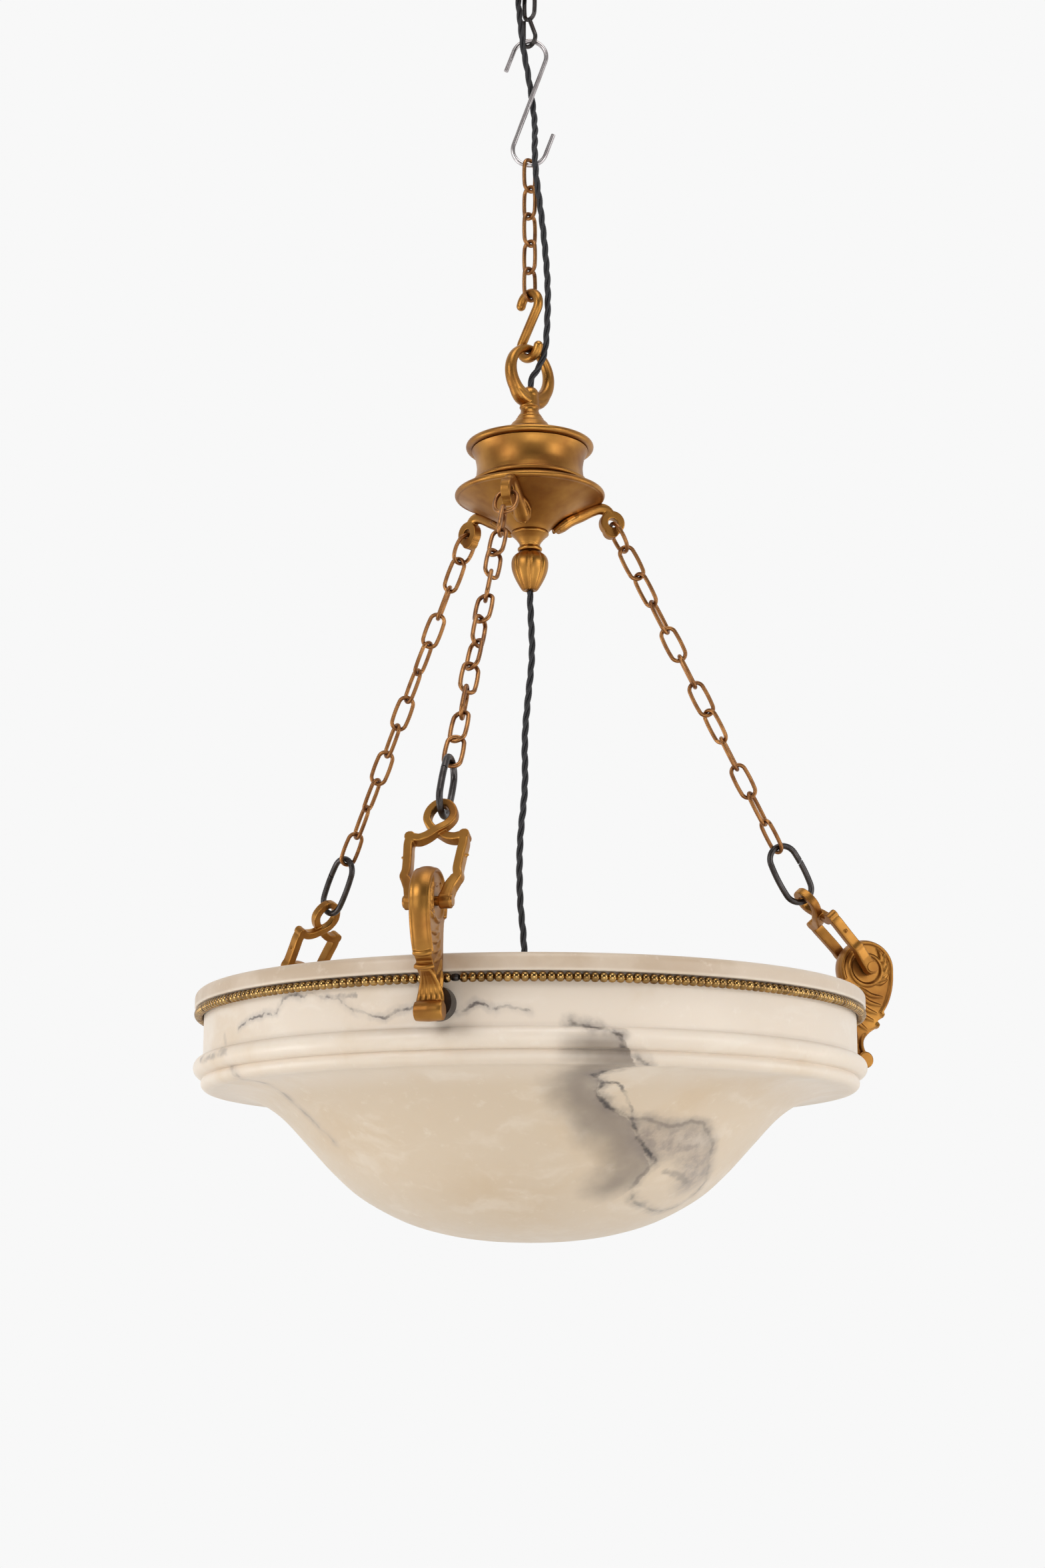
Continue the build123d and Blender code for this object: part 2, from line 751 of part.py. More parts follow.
with BuildPart() as tube_nuts:
    for height in (cap_cone_top - cap_wall - nut_depth, cone_low + cone_wall):
        with BuildSketch(Plane.XY.offset(height)):
            RegularPolygon(nut_flats / 2, 6, major_radius=False)
            Circle(tube_radius + seat, mode=Mode.SUBTRACT)
        extrude(amount=nut_depth)
keep(tube_nuts.part, "tube_nuts")

# Chains: a ring link in the arm's eye, eleven oval links, then the split link
link_rolls = {
    "front": (0, 85, 12, -52, 70, 8, -68, 30, -40, 80, 10, -15),
    "right": (-5, 95, 155, 40, 108, 18, 100, 155, 30, 100, 40, -15),
    "left": (5, 72, 140, 45, 165, 105, 40, 110, 45, -20, 110, 20),
}
for name, angle in stations.items():
    out = heading(angle)
    aside = heading(angle + 90)
    slope = radians(chain_slope[name])
    down = out * sin(slope) - Vector(0, 0, cos(slope))
    level = out * cos(slope) + Vector(0, 0, sin(slope))
    step = chain_steps[name]
    start = out * arm_eye_out + Vector(0, 0, arm_eye_height)
    links = []
    for number, roll in enumerate(link_rolls[name]):
        ring = number == 0
        inner = ring_link_inner if ring else step + gap
        low = ring_low + number * step
        centre = start + down * (low - (inner + link_wire) / 2)
        across = aside * cos(radians(roll)) + level * sin(radians(roll))
        place = Plane(origin=centre, x_dir=across, z_dir=down.cross(across))
        links.append(link(place, inner, ring_link_wide if ring else link_wide, link_wire).part)
    keep(Compound(children=links), f"chain_{name}")
    chain_low = ring_low + (chain_link_count - 1) * step
    split_low = chain_low + chain_end
    centre = start + down * (split_low - (split_link_inner + split_link_wire) / 2)
    place = Plane(origin=centre, x_dir=level, z_dir=down.cross(level))
    split_link = link(place, split_link_inner, split_link_wide, split_link_wire)
    with BuildPart() as slit_link:
        add(split_link.part)
        with BuildSketch(place):
            split_at = ((split_link_wide - split_link_wire) / 2, split_link_inner * 0.12, 0)
            with Locations(Location(split_at, 30)):
                Rectangle(3 * split_link_wire, split_width)
        extrude(amount=split_link_wire, both=True, mode=Mode.SUBTRACT)
    keep(slit_link.part, f"split_link_{name}")

# Shackles: flat castings with a loop, square shoulders and two legs on the pin
hole_top = shackle_reach + split_link_wire / 2 + shackle_play
loop_crest = hole_top + shackle_bar
hole_mid = hole_top - shackle_hole_long / 2
loop_half = loop_crest - hole_mid
shoulder = loop_crest - 24
waist = 18.0
leg_out = shackle_leg_in + shackle_leg


def shackle_loop(face):
    """The eye at the shackle's top, with rounded edges."""
    with BuildPart() as eye:
        with BuildSketch(face):
            with Locations((0, hole_mid)):
                Ellipse(shackle_loop_half, loop_half)
                Ellipse(shackle_hole_half, shackle_hole_long / 2, mode=Mode.SUBTRACT)
        extrude(amount=shackle_loop_thick / 2, both=True)
        fillet(eye.edges(), shackle_loop_round)
    return eye.part


pin_at = Vector(pin_from_axis, 0, pin_height)
along = Vector(0, 0, 1)
face = Plane(origin=pin_at, x_dir=(0, 1, 0), z_dir=Vector(0, 1, 0).cross(along))
with BuildPart() as shackle:
    for side in (-1, 1):
        with BuildSketch(face):
            with BuildLine():
                Polyline(
                    (0, shoulder - 3.2),
                    (side * 8, shoulder - 6.5),
                    (side * 14, shoulder - 7.2),
                    (side * 13.6, waist + 6),
                    (side * 14, waist),
                    (side * (shackle_leg_in + 1.2), waist - 10),
                    (side * shackle_leg_in, 0),
                    (side * leg_out, 0),
                    (side * leg_out, waist - 10),
                    (side * 19.2, waist - 0.5),
                    (side * 18.2, waist + 4),
                    (side * 18.6, shoulder - 6),
                )
                ThreePointArc(
                    (side * 18.6, shoulder - 6), (side * 17.4, shoulder + 0.6), (side * 12.5, shoulder - 1.6)
                )
                Polyline((side * 12.5, shoulder - 1.6), (side * 7, shoulder - 1.2), (0, shoulder + 3))
                Line((0, shoulder + 3), (0, shoulder - 3.2))
            make_face()
        extrude(amount=shackle_thick / 2, both=True)
    add(shackle_loop(face))
    for side in (-1, 1):
        leg_face = pin_at + Vector(0, side * shackle_leg_in, 0)
        with BuildSketch(Plane(origin=leg_face, x_dir=along, z_dir=(0, side, 0))):
            Circle(shackle_boss)
        extrude(amount=shackle_leg)
        nib_at = pin_at + Vector(0, side * 17.5, 0) + along * (waist + 14)
        with BuildSketch(Plane(origin=nib_at, z_dir=(0, side, 0))):
            Circle(1.2)
        extrude(amount=2.4, taper=15)
    with BuildSketch(Plane(origin=pin_at, x_dir=along, z_dir=(0, 1, 0))):
        Circle(pin_radius + run_fit)
    extrude(amount=2 * leg_out, both=True, mode=Mode.SUBTRACT)
pin_axis = Axis(tuple(pin_at), (0, -1, 0))
for name, angle in stations.items():
    leaning = shackle.part.rotate(pin_axis, shackle_lean[name])
    keep(leaning.rotate(Axis.Z, angle), f"shackle_{name}")

# Pins: round-headed at both ends, through the bracket and both legs
with BuildPart() as shackle_pins:
    for angle in stations.values():
        out = heading(angle)
        aside = heading(angle + 90)
        pin_at = out * pin_from_axis + Vector(0, 0, pin_height)
        pin_half = leg_out + run_fit
        with BuildSketch(Plane(origin=pin_at - aside * pin_half, z_dir=aside)):
            Circle(pin_radius)
        extrude(amount=2 * pin_half)
        for side in (-1, 1):
            with BuildSketch(Plane(origin=pin_at + aside * (side * pin_half), z_dir=aside * side)):
                Circle(pin_radius + 1.2)
            extrude(amount=1.4, taper=25)
keep(shackle_pins.part, "shackle_pins")

# Bowl: a turned rim, a plain band, two rolls and a deep ogee, hollowed to an even wall
bolt_through = bolt_radius + 3 * seat
with BuildPart() as bowl:
    with BuildSketch(Plane.XZ):
        with BuildLine():
            z0 = bead_height
            Line((bowl_inner_radius, z0 + bowl_rim_top), (bowl_rim_radius - rim_round, z0 + bowl_rim_top))
            RadiusArc(
                (bowl_rim_radius - rim_round, z0 + bowl_rim_top),
                (bowl_rim_radius, z0 + bowl_rim_top - rim_round),
                rim_round,
            )
            Polyline(
                (bowl_rim_radius, z0 + bowl_rim_top - rim_round),
                (bowl_rim_radius, z0 + bowl_rim_low),
                (bowl_wall_radius, z0 + bowl_rim_low),
                (bowl_wall_radius, z0 + roll_top),
            )
            ThreePointArc(
                (bowl_wall_radius, z0 + roll_top),
                (roll_radius, z0 + (roll_top + roll_mid) / 2),
                (bowl_wall_radius, z0 + roll_mid),
            )
            ThreePointArc(
                (bowl_wall_radius, z0 + roll_mid),
                (bowl_wall_radius + low_roll_bulge, z0 + (roll_mid + roll_low) / 2),
                (bowl_wall_radius - low_roll_tuck, z0 + roll_low),
            )
            Spline(
                (bowl_wall_radius - low_roll_tuck, z0 + roll_low),
                *[(bowl_wall_radius - inset, z0 + height) for inset, height in ogee],
                (0, z0 - bowl_depth),
                tangents=((-1, 0.1), (-1, 0)),
            )
            Line((0, z0 - bowl_depth), (0, z0 - bowl_depth + bowl_floor))
            Spline(
                (0, z0 - bowl_depth + bowl_floor),
                *[(bowl_inner_radius - inset, z0 + height) for inset, height in hollow],
                (bowl_inner_radius, z0 + hollow_shoulder),
                tangents=((1, 0), (0, 1)),
            )
            Line((bowl_inner_radius, z0 + hollow_shoulder), (bowl_inner_radius, z0 + bowl_rim_top))
        make_face()
    revolve(axis=Axis.Z)
    for angle in stations.values():
        base = heading(angle) * (bowl_inner_radius - bowl_wall) + Vector(0, 0, bolt_height)
        with BuildSketch(Plane(origin=base, z_dir=heading(angle))):
            Circle(bolt_through)
        extrude(amount=3 * bowl_wall, mode=Mode.SUBTRACT)
keep(bowl.part, "bowl")

# Bead band: barrel beads strung round the wall, tucked under the rim
bead_circle = bowl_wall_radius + bead_radius + bead_gap
with BuildPart() as bead:
    with BuildSketch(Plane.XY):
        with BuildLine():
            Polyline(
                (0, -bead_long / 2),
                (bead_end_radius, -bead_long / 2),
                (bead_radius, -bead_barrel / 2),
                (bead_radius, bead_barrel / 2),
                (bead_end_radius, bead_long / 2),
                (0, bead_long / 2),
                close=True,
            )
        make_face()
    revolve(axis=Axis.Y)
beads = [
    bead.part.moved(Location((0, 0, bead_height)) * place)
    for place in PolarLocations(bead_circle, bead_count)
]
keep(Compound(children=beads), "bead_band")

# Brackets: carved scrolls, each bolted through the wall over a turned spacer
bracket_half = bracket_wide / 2
for name, angle in stations.items():
    out = heading(angle)
    face = Plane(origin=out * bracket_back + Vector(0, 0, bolt_height), x_dir=out, z_dir=heading(angle - 90))
    with BuildPart() as bracket:
        with BuildSketch(face):
            with BuildLine():
                Spline(
                    (pin_out + 20, pin_up - 4),
                    (pin_out + 19.6, pin_up - 16),
                    (28, 28),
                    tangents=((0.1, -1), (-0.5, -1)),
                )
                Polyline((28, 28), (29.5, 24.5), (24.6, 20), (25.4, 16.5))
                Spline((25.4, 16.5), (16.6, 13), (11.4, 3.5), tangents=((-1, 0.1), (-0.05, -1)))
                ThreePointArc((11.4, 3.5), (14.2, -1), (19.4, -3))
                ThreePointArc((19.4, -3), (20.6, -8), (16.4, -12))
                Spline((16.4, -12), (7, -11.5), (0, -7), tangents=((-1, 0), (-0.2, 1)))
                Polyline((0, -7), (0, 23.5), (-0.6, 35.5), (4, 45.5), (pin_out, pin_up))
                Line((pin_out, pin_up), (pin_out + 20, pin_up - 4))
            make_face()
        extrude(amount=bracket_half, both=True)
        with BuildSketch(face):
            with Locations((pin_out, pin_up)):
                Circle(volute_radius)
        extrude(amount=bracket_half, both=True)
        with BuildSketch(face):
            with Locations((15.2, -7.4)):
                Circle(5.2)
        extrude(amount=foot_wide / 2, both=True)
        for side in (-1, 1):
            cheek = face.offset(side * bracket_half)
            with BuildSketch(cheek):
                with Locations((pin_out, pin_up)):
                    Circle(11)
                    Circle(8.2, mode=Mode.SUBTRACT)
            extrude(amount=-side * 1.2, mode=Mode.SUBTRACT)
        with BuildSketch(face):
            with Locations((pin_out, pin_up)):
                Circle(pin_radius + seat / 2)
        extrude(amount=foot_wide, both=True, mode=Mode.SUBTRACT)
        with BuildSketch(Plane(origin=face.origin, z_dir=out)):
            Circle(bolt_radius + seat)
        extrude(amount=bolt_grip + seat, mode=Mode.SUBTRACT)
    keep(bracket.part, f"bracket_{name}")

# Spacers, bolts and washers of the three brackets
washer_face = sqrt(bowl_inner_radius**2 - washer_radius**2) - seat / 2
bolt_base = washer_face - washer_thick
with BuildPart() as bracket_spacers:
    for angle in stations.values():
        base = heading(angle) * bowl_inner_radius + Vector(0, 0, bolt_height)
        with BuildSketch(Plane(origin=base, z_dir=heading(angle))):
            Circle(spacer_radius)
            Circle(bolt_radius + seat, mode=Mode.SUBTRACT)
        extrude(amount=bracket_back - bowl_inner_radius)
    with BuildSketch(Plane.XY.offset(bolt_height - 2 * spacer_radius)):
        Circle(bowl_wall_radius)
    extrude(amount=4 * spacer_radius, mode=Mode.SUBTRACT)
keep(bracket_spacers.part, "bracket_spacers")

with BuildPart() as bracket_bolts:
    for angle in stations.values():
        base = heading(angle) * bolt_base + Vector(0, 0, bolt_height)
        with BuildSketch(Plane(origin=base, z_dir=heading(angle))):
            Circle(bolt_radius)
        extrude(amount=bracket_back + bolt_grip - bolt_base)
        with BuildSketch(Plane(origin=base, z_dir=heading(angle))):
            RegularPolygon(bolt_head_radius, 6)
        extrude(amount=-bolt_head_depth)
keep(bracket_bolts.part, "bracket_bolts")

with BuildPart() as bolt_washers:
    for angle in stations.values():
        base = heading(angle) * bolt_base + Vector(0, 0, bolt_height)
        with BuildSketch(Plane(origin=base, z_dir=heading(angle))):
            Circle(washer_radius)
            Circle(bolt_radius + seat, mode=Mode.SUBTRACT)
        extrude(amount=washer_thick)
keep(bolt_washers.part, "bolt_washers")

# Lamp: a cord grip, a holder with its ring, and a bulb, hung inside the bowl
lamp_axis = viewed(*lamp_offset, 0)
lamp_top = bead_height + lamp_top_over_bead
holder_top = lamp_top - lamp_cap_height
holder_low = holder_top - holder_height
bulb_top = holder_low + bulb_cap_in
glass_top = bulb_top - bulb_cap_height
glass_low = glass_top - bulb_glass_height
lamp_plane = Plane(origin=lamp_axis, x_dir=(1, 0, 0), z_dir=(0, -1, 0))
lamp_line = Axis((lamp_axis.X, lamp_axis.Y, 0), (0, 0, 1))

with BuildPart() as lamp_cap:
    with BuildSketch(lamp_plane):
        with BuildLine():
            Spline(
                (flex_bore + 2.5, lamp_top),
                (flex_bore + 4, lamp_top - lamp_cap_height * 0.5),
                (lamp_cap_radius, lamp_top - lamp_cap_height * 0.8),
                tangents=((0.1, -1), (0.2, -1)),
            )
            Polyline(
                (lamp_cap_radius, lamp_top - lamp_cap_height * 0.8),
                (lamp_cap_radius, holder_top),
                (flex_bore, holder_top),
                (flex_bore, lamp_top),
                (flex_bore + 2.5, lamp_top),
            )
        make_face()
    revolve(axis=lamp_line)
keep(lamp_cap.part, "lamp_cap")

with BuildPart() as lamp_holder:
    with BuildSketch(lamp_plane):
        with BuildLine():
            Polyline(
                (flex_bore, holder_top),
                (lamp_cap_radius, holder_top),
                (holder_radius, holder_top - 3),
                (holder_radius, holder_low),
                (holder_radius - holder_wall, holder_low),
                (holder_radius - holder_wall, bulb_top + 4),
                (flex_bore, bulb_top + 4),
                (flex_bore, holder_top),
            )
        make_face()
    revolve(axis=lamp_line)
keep(lamp_holder.part, "lamp_holder")

with BuildPart() as holder_ring:
    ring_top = Vector(lamp_axis.X, lamp_axis.Y, holder_low + holder_ring_depth)
    with BuildSketch(Plane(origin=ring_top, z_dir=(0, 0, -1))):
        Circle(holder_ring_radius)
        Circle(holder_radius + seat, mode=Mode.SUBTRACT)
    extrude(amount=holder_ring_depth)
    chamfer(holder_ring.edges().filter_by(GeomType.CIRCLE).sort_by(SortBy.RADIUS)[-2:], 1.5)
keep(holder_ring.part, "holder_ring")

with BuildPart() as bulb_cap:
    with BuildSketch(Plane(origin=(lamp_axis.X, lamp_axis.Y, glass_top), z_dir=(0, 0, 1))):
        Circle(bulb_cap_radius)
    extrude(amount=bulb_cap_height)
    chamfer(bulb_cap.faces().sort_by(Axis.Z)[-1].edges(), 1.5)
    pins_at = Vector(lamp_axis.X, lamp_axis.Y, bulb_top - 7)
    with BuildSketch(Plane(origin=pins_at, x_dir=(0, 1, 0), z_dir=(1, 0, 0))):
        Circle(1.1)
    extrude(amount=bulb_cap_radius + 2, both=True)
    for side in (-1, 1):
        with BuildSketch(Plane(origin=(lamp_axis.X + side * 4.5, lamp_axis.Y, bulb_top))):
            Circle(2.2)
        extrude(amount=4)
keep(bulb_cap.part, "bulb_cap")

with BuildPart() as bulb_glass:
    with BuildSketch(lamp_plane):
        with BuildLine():
            Spline(
                (bulb_cap_radius, glass_top),
                (bulb_radius * 0.52, glass_top - bulb_glass_height * 0.2),
                (bulb_radius, glass_top - bulb_glass_height + bulb_radius),
                tangents=((0.1, -1), (0, -1)),
            )
            RadiusArc((bulb_radius, glass_low + bulb_radius), (0, glass_low), bulb_radius)
            Line((0, glass_low), (0, glass_low + bulb_wall))
            RadiusArc(
                (0, glass_low + bulb_wall),
                (bulb_radius - bulb_wall, glass_low + bulb_radius),
                bulb_wall - bulb_radius,
            )
            Spline(
                (bulb_radius - bulb_wall, glass_low + bulb_radius),
                (bulb_radius * 0.52 - bulb_wall, glass_top - bulb_glass_height * 0.2),
                (bulb_cap_radius - bulb_wall, glass_top),
                tangents=((0, 1), (-0.1, 1)),
            )
            Line((bulb_cap_radius - bulb_wall, glass_top), (bulb_cap_radius, glass_top))
        make_face()
    revolve(axis=lamp_line)
keep(bulb_glass.part, "bulb_glass")

# Flex: from the ceiling bush to the loop's ball, down the tube, and from the finial to the lamp
upper_route = [
    viewed(*bush_place, -13),
    viewed(*bush_place, -31),
    viewed(-7.8, 3.0, -50),
    viewed(-6.2, 6.2, -68),
    viewed(-4.6, 6.4, -84),
    viewed(-1.6, 1.0, -98),
    viewed(1.0, -5.4, -112),
    viewed(3.0, -6.0, -127),
    viewed(4.2, -1.6, -144),
    viewed(3.6, 6.4, -162),
    viewed(4.4, 9.4, -184),
    viewed(8.2, 8.2, -212),
    viewed(11.6, 3.8, -243),
    viewed(13.4, 2.6, -272),
    viewed(12.6, 1.0, -298),
    viewed(11.2, -0.6, -318),
    viewed(6.2, 0.0, -330),
    viewed(0, 0, -339),
    viewed(0, 0, ball_height - 1),
]
lower_route = [
    viewed(0, 0, finial_low),
    viewed(0.6, 0.4, finial_low - 20),
    viewed(2.0, 0.8, finial_low - 46),
    viewed(-1.4, -0.4, finial_low - 78),
    viewed(-4.0, 0.6, finial_low - 108),
    viewed(-3.0, -0.4, finial_low - 142),
    viewed(-7.4, 0.4, finial_low - 180),
    viewed(-7.2, -0.4, finial_low - 222),
    viewed(*lamp_offset, lamp_top + 14),
    viewed(*lamp_offset, lamp_top - lamp_cap_height / 2),
]


def flex_tube(points, name):
    """A round tube along the points, each corner as wide an arc as its runs allow."""
    radii = []
    for before, here, after in zip(points, points[1:], points[2:]):
        turn = (here - before).get_angle(after - here)
        run = min((here - before).length, (after - here).length)
        radii.append(0.45 * run / tan(radians(turn / 2)))
    with BuildPart() as tube:
        with BuildLine() as route:
            FilletPolyline(*points, radius=radii)
        path = route.wire()
        with BuildSketch(Plane(origin=path @ 0, z_dir=path % 0)):
            Circle(flex_diameter / 2)
        sweep(path=path)
    section = pi * (flex_diameter / 2) ** 2
    print(name, "radii", [round(r) for r in radii], "length", round(path.length, 1))
    print(name, "volume over section times length", round(tube.part.volume / (section * path.length), 4))
    return tube


keep(flex_tube(upper_route, "flex_upper").part, "flex_upper")

# The lower stretch turns in the finial's mouth on a round end
flex_lower = flex_tube(lower_route, "flex_lower")
with flex_lower:
    with Locations(lower_route[0]):
        Sphere(flex_diameter / 2)
keep(flex_lower.part, "flex_lower")

inner_low = finial_low + flex_diameter / 2 + gap
with BuildPart() as flex_inner:
    with BuildSketch(Plane.XY.offset(inner_low)):
        Circle(flex_diameter / 2)
    extrude(amount=ball_height - 1 - inner_low)
keep(flex_inner.part, "flex_inner")
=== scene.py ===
# %% [markdown]
# # An alabaster bowl on three chains
# The light hangs from the ceiling: hooks and a short chain carry a bronze gallery, and three chains carry the
# bowl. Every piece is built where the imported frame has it, in metres, so that looks and motion share one set
# of places.

# %% Load the frame
import json
import math

import bmesh
import bpy
import numpy as np
from mathutils import Matrix, Vector
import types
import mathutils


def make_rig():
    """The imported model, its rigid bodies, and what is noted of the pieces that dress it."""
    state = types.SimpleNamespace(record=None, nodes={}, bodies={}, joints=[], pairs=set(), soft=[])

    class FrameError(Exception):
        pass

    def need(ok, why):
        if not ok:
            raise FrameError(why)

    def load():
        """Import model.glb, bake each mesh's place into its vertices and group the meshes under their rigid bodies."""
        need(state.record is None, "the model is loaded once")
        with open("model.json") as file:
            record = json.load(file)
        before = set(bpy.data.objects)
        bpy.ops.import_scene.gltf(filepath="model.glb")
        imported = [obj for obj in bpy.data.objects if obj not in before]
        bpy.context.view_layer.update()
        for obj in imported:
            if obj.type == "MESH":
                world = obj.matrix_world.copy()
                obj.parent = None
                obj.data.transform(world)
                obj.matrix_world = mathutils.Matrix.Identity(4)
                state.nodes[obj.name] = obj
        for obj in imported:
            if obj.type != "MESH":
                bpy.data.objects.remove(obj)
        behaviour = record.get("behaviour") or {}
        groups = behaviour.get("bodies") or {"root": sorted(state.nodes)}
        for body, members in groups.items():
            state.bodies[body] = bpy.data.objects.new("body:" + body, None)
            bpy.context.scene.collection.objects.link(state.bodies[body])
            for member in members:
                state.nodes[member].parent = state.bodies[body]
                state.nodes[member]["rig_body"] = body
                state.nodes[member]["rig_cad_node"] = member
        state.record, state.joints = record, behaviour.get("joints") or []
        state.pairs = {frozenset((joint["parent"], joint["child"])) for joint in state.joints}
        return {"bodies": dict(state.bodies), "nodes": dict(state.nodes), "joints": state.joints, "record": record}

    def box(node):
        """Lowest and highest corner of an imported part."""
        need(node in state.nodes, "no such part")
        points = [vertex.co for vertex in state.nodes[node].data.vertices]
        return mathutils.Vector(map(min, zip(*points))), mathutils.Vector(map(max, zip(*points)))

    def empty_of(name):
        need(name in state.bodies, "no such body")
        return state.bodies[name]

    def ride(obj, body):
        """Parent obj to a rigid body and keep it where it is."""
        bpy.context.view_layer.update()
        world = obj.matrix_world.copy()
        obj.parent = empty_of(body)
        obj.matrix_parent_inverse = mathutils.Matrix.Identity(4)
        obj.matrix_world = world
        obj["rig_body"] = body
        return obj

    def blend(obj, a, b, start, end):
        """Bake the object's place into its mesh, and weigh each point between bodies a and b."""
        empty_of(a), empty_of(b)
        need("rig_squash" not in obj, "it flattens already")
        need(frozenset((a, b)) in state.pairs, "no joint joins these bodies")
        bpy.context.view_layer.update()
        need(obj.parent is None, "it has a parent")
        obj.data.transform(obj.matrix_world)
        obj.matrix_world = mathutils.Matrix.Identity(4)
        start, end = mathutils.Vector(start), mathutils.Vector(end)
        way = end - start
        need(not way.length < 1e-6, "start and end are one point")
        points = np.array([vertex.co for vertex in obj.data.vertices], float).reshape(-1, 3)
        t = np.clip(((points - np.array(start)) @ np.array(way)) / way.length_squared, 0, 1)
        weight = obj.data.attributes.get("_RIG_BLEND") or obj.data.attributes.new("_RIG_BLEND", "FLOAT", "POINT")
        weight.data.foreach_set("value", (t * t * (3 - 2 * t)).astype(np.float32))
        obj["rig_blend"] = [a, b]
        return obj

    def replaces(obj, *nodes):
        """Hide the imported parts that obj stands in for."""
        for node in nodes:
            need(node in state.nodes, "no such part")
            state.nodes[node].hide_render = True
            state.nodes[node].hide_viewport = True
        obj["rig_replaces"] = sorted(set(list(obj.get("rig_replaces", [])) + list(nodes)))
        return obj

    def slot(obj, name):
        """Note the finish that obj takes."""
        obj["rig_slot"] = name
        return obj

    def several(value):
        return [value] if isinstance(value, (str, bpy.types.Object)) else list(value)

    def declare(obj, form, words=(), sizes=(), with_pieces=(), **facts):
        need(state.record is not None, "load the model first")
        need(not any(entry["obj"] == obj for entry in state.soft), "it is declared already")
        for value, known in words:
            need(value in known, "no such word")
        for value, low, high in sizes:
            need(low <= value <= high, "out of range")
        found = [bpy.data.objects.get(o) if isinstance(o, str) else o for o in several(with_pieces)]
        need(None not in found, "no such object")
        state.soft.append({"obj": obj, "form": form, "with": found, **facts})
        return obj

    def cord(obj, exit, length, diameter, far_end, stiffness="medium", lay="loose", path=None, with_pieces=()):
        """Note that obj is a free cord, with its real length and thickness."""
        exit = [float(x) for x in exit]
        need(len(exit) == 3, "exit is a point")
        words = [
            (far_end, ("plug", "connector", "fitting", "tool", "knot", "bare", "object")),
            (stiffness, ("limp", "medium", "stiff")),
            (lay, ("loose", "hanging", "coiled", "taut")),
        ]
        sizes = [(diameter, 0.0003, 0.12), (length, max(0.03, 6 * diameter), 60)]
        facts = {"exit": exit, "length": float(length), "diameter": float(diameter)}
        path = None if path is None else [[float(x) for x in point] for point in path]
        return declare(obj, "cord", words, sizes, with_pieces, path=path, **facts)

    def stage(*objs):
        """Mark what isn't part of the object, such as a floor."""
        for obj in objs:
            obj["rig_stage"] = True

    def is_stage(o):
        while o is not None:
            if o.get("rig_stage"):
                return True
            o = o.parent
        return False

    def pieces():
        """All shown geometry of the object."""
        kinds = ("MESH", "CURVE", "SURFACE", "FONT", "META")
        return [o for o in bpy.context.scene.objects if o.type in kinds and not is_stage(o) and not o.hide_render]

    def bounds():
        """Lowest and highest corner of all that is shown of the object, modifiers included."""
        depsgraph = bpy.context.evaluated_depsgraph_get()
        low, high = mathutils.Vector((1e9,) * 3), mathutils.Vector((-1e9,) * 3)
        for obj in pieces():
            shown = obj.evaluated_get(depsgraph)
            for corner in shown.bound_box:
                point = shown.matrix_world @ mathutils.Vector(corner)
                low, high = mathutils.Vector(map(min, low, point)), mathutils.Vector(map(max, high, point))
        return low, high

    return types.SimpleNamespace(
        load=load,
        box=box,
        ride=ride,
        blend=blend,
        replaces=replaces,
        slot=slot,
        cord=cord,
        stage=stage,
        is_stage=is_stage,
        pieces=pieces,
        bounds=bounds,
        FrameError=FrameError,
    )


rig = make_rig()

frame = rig.load()
cad_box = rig.bounds()
MM = 0.001
STATIONS = {"front": -90.0, "right": 30.0, "left": 150.0}    # degrees round the axis
joints = {joint["name"]: joint for joint in frame["record"]["behaviour"]["joints"]}


def span(node):
    """The lowest and highest z of a CAD node."""
    low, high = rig.box(node)
    return low[2], high[2]


def pivot(joint):
    """The height of a joint's pivot."""
    return joints[joint]["pos_m"][2]


def linked(name, data):
    """A new object in the scene, at the origin."""
    made = bpy.data.objects.new(name, data)
    bpy.context.collection.objects.link(made)
    return made


bead_line = sum(span("bead_band")) / 2
print("bead line at", round(bead_line, 4), "m")
print("box", [[round(c, 3) for c in corner] for corner in cad_box])

# %% [markdown]
# ## Camera
# The photograph looks up from a little under the bowl. A camera can be placed by eye, but this one was fitted
# to points measured in the photograph, so that outlines can be laid over it. It stands a little right of the
# front bracket.

# %% Camera
VIEW_TURN = 14.2          # degrees from the front bracket to the camera, round the axis
VIEW_DISTANCE = 1.756     # metres from the axis
VIEW_BELOW = 0.201        # metres under the bead line
VIEW_PITCH = 11.74        # degrees up
VIEW_YAW = 0.17           # degrees to the left
VIEW_LENS, VIEW_FRAME = 59.22, 36.0    # focal length and height of the film
turn = math.radians(VIEW_TURN)
camera = linked("camera", bpy.data.cameras.new("camera"))
camera.data.sensor_fit = "VERTICAL"
camera.data.sensor_height = VIEW_FRAME
camera.data.lens = VIEW_LENS
camera.location = (VIEW_DISTANCE * math.sin(turn), -VIEW_DISTANCE * math.cos(turn), bead_line - VIEW_BELOW)
camera.rotation_euler = (math.radians(90 + VIEW_PITCH), 0, turn + math.radians(VIEW_YAW))
bpy.context.scene.camera = camera
bpy.context.scene.view_settings.view_transform = "Standard"


def viewed(right, near, height):
    """A point given in millimetres: right of the axis for the camera, towards the camera, and its height."""
    across = Vector((math.cos(turn), math.sin(turn), 0))
    towards = Vector((math.sin(turn), -math.cos(turn), 0))
    return (across * right + towards * near + Vector((0, 0, height))) * MM


print("camera at", [round(c, 3) for c in camera.location])

# %% [markdown]
# ## Nodes
# A tree of nodes can be wired by hand in the editor. In a script that takes many lines, so one small function
# adds a node, sets its values and links its sockets, and short forms of the usual nodes keep recipes
# readable.

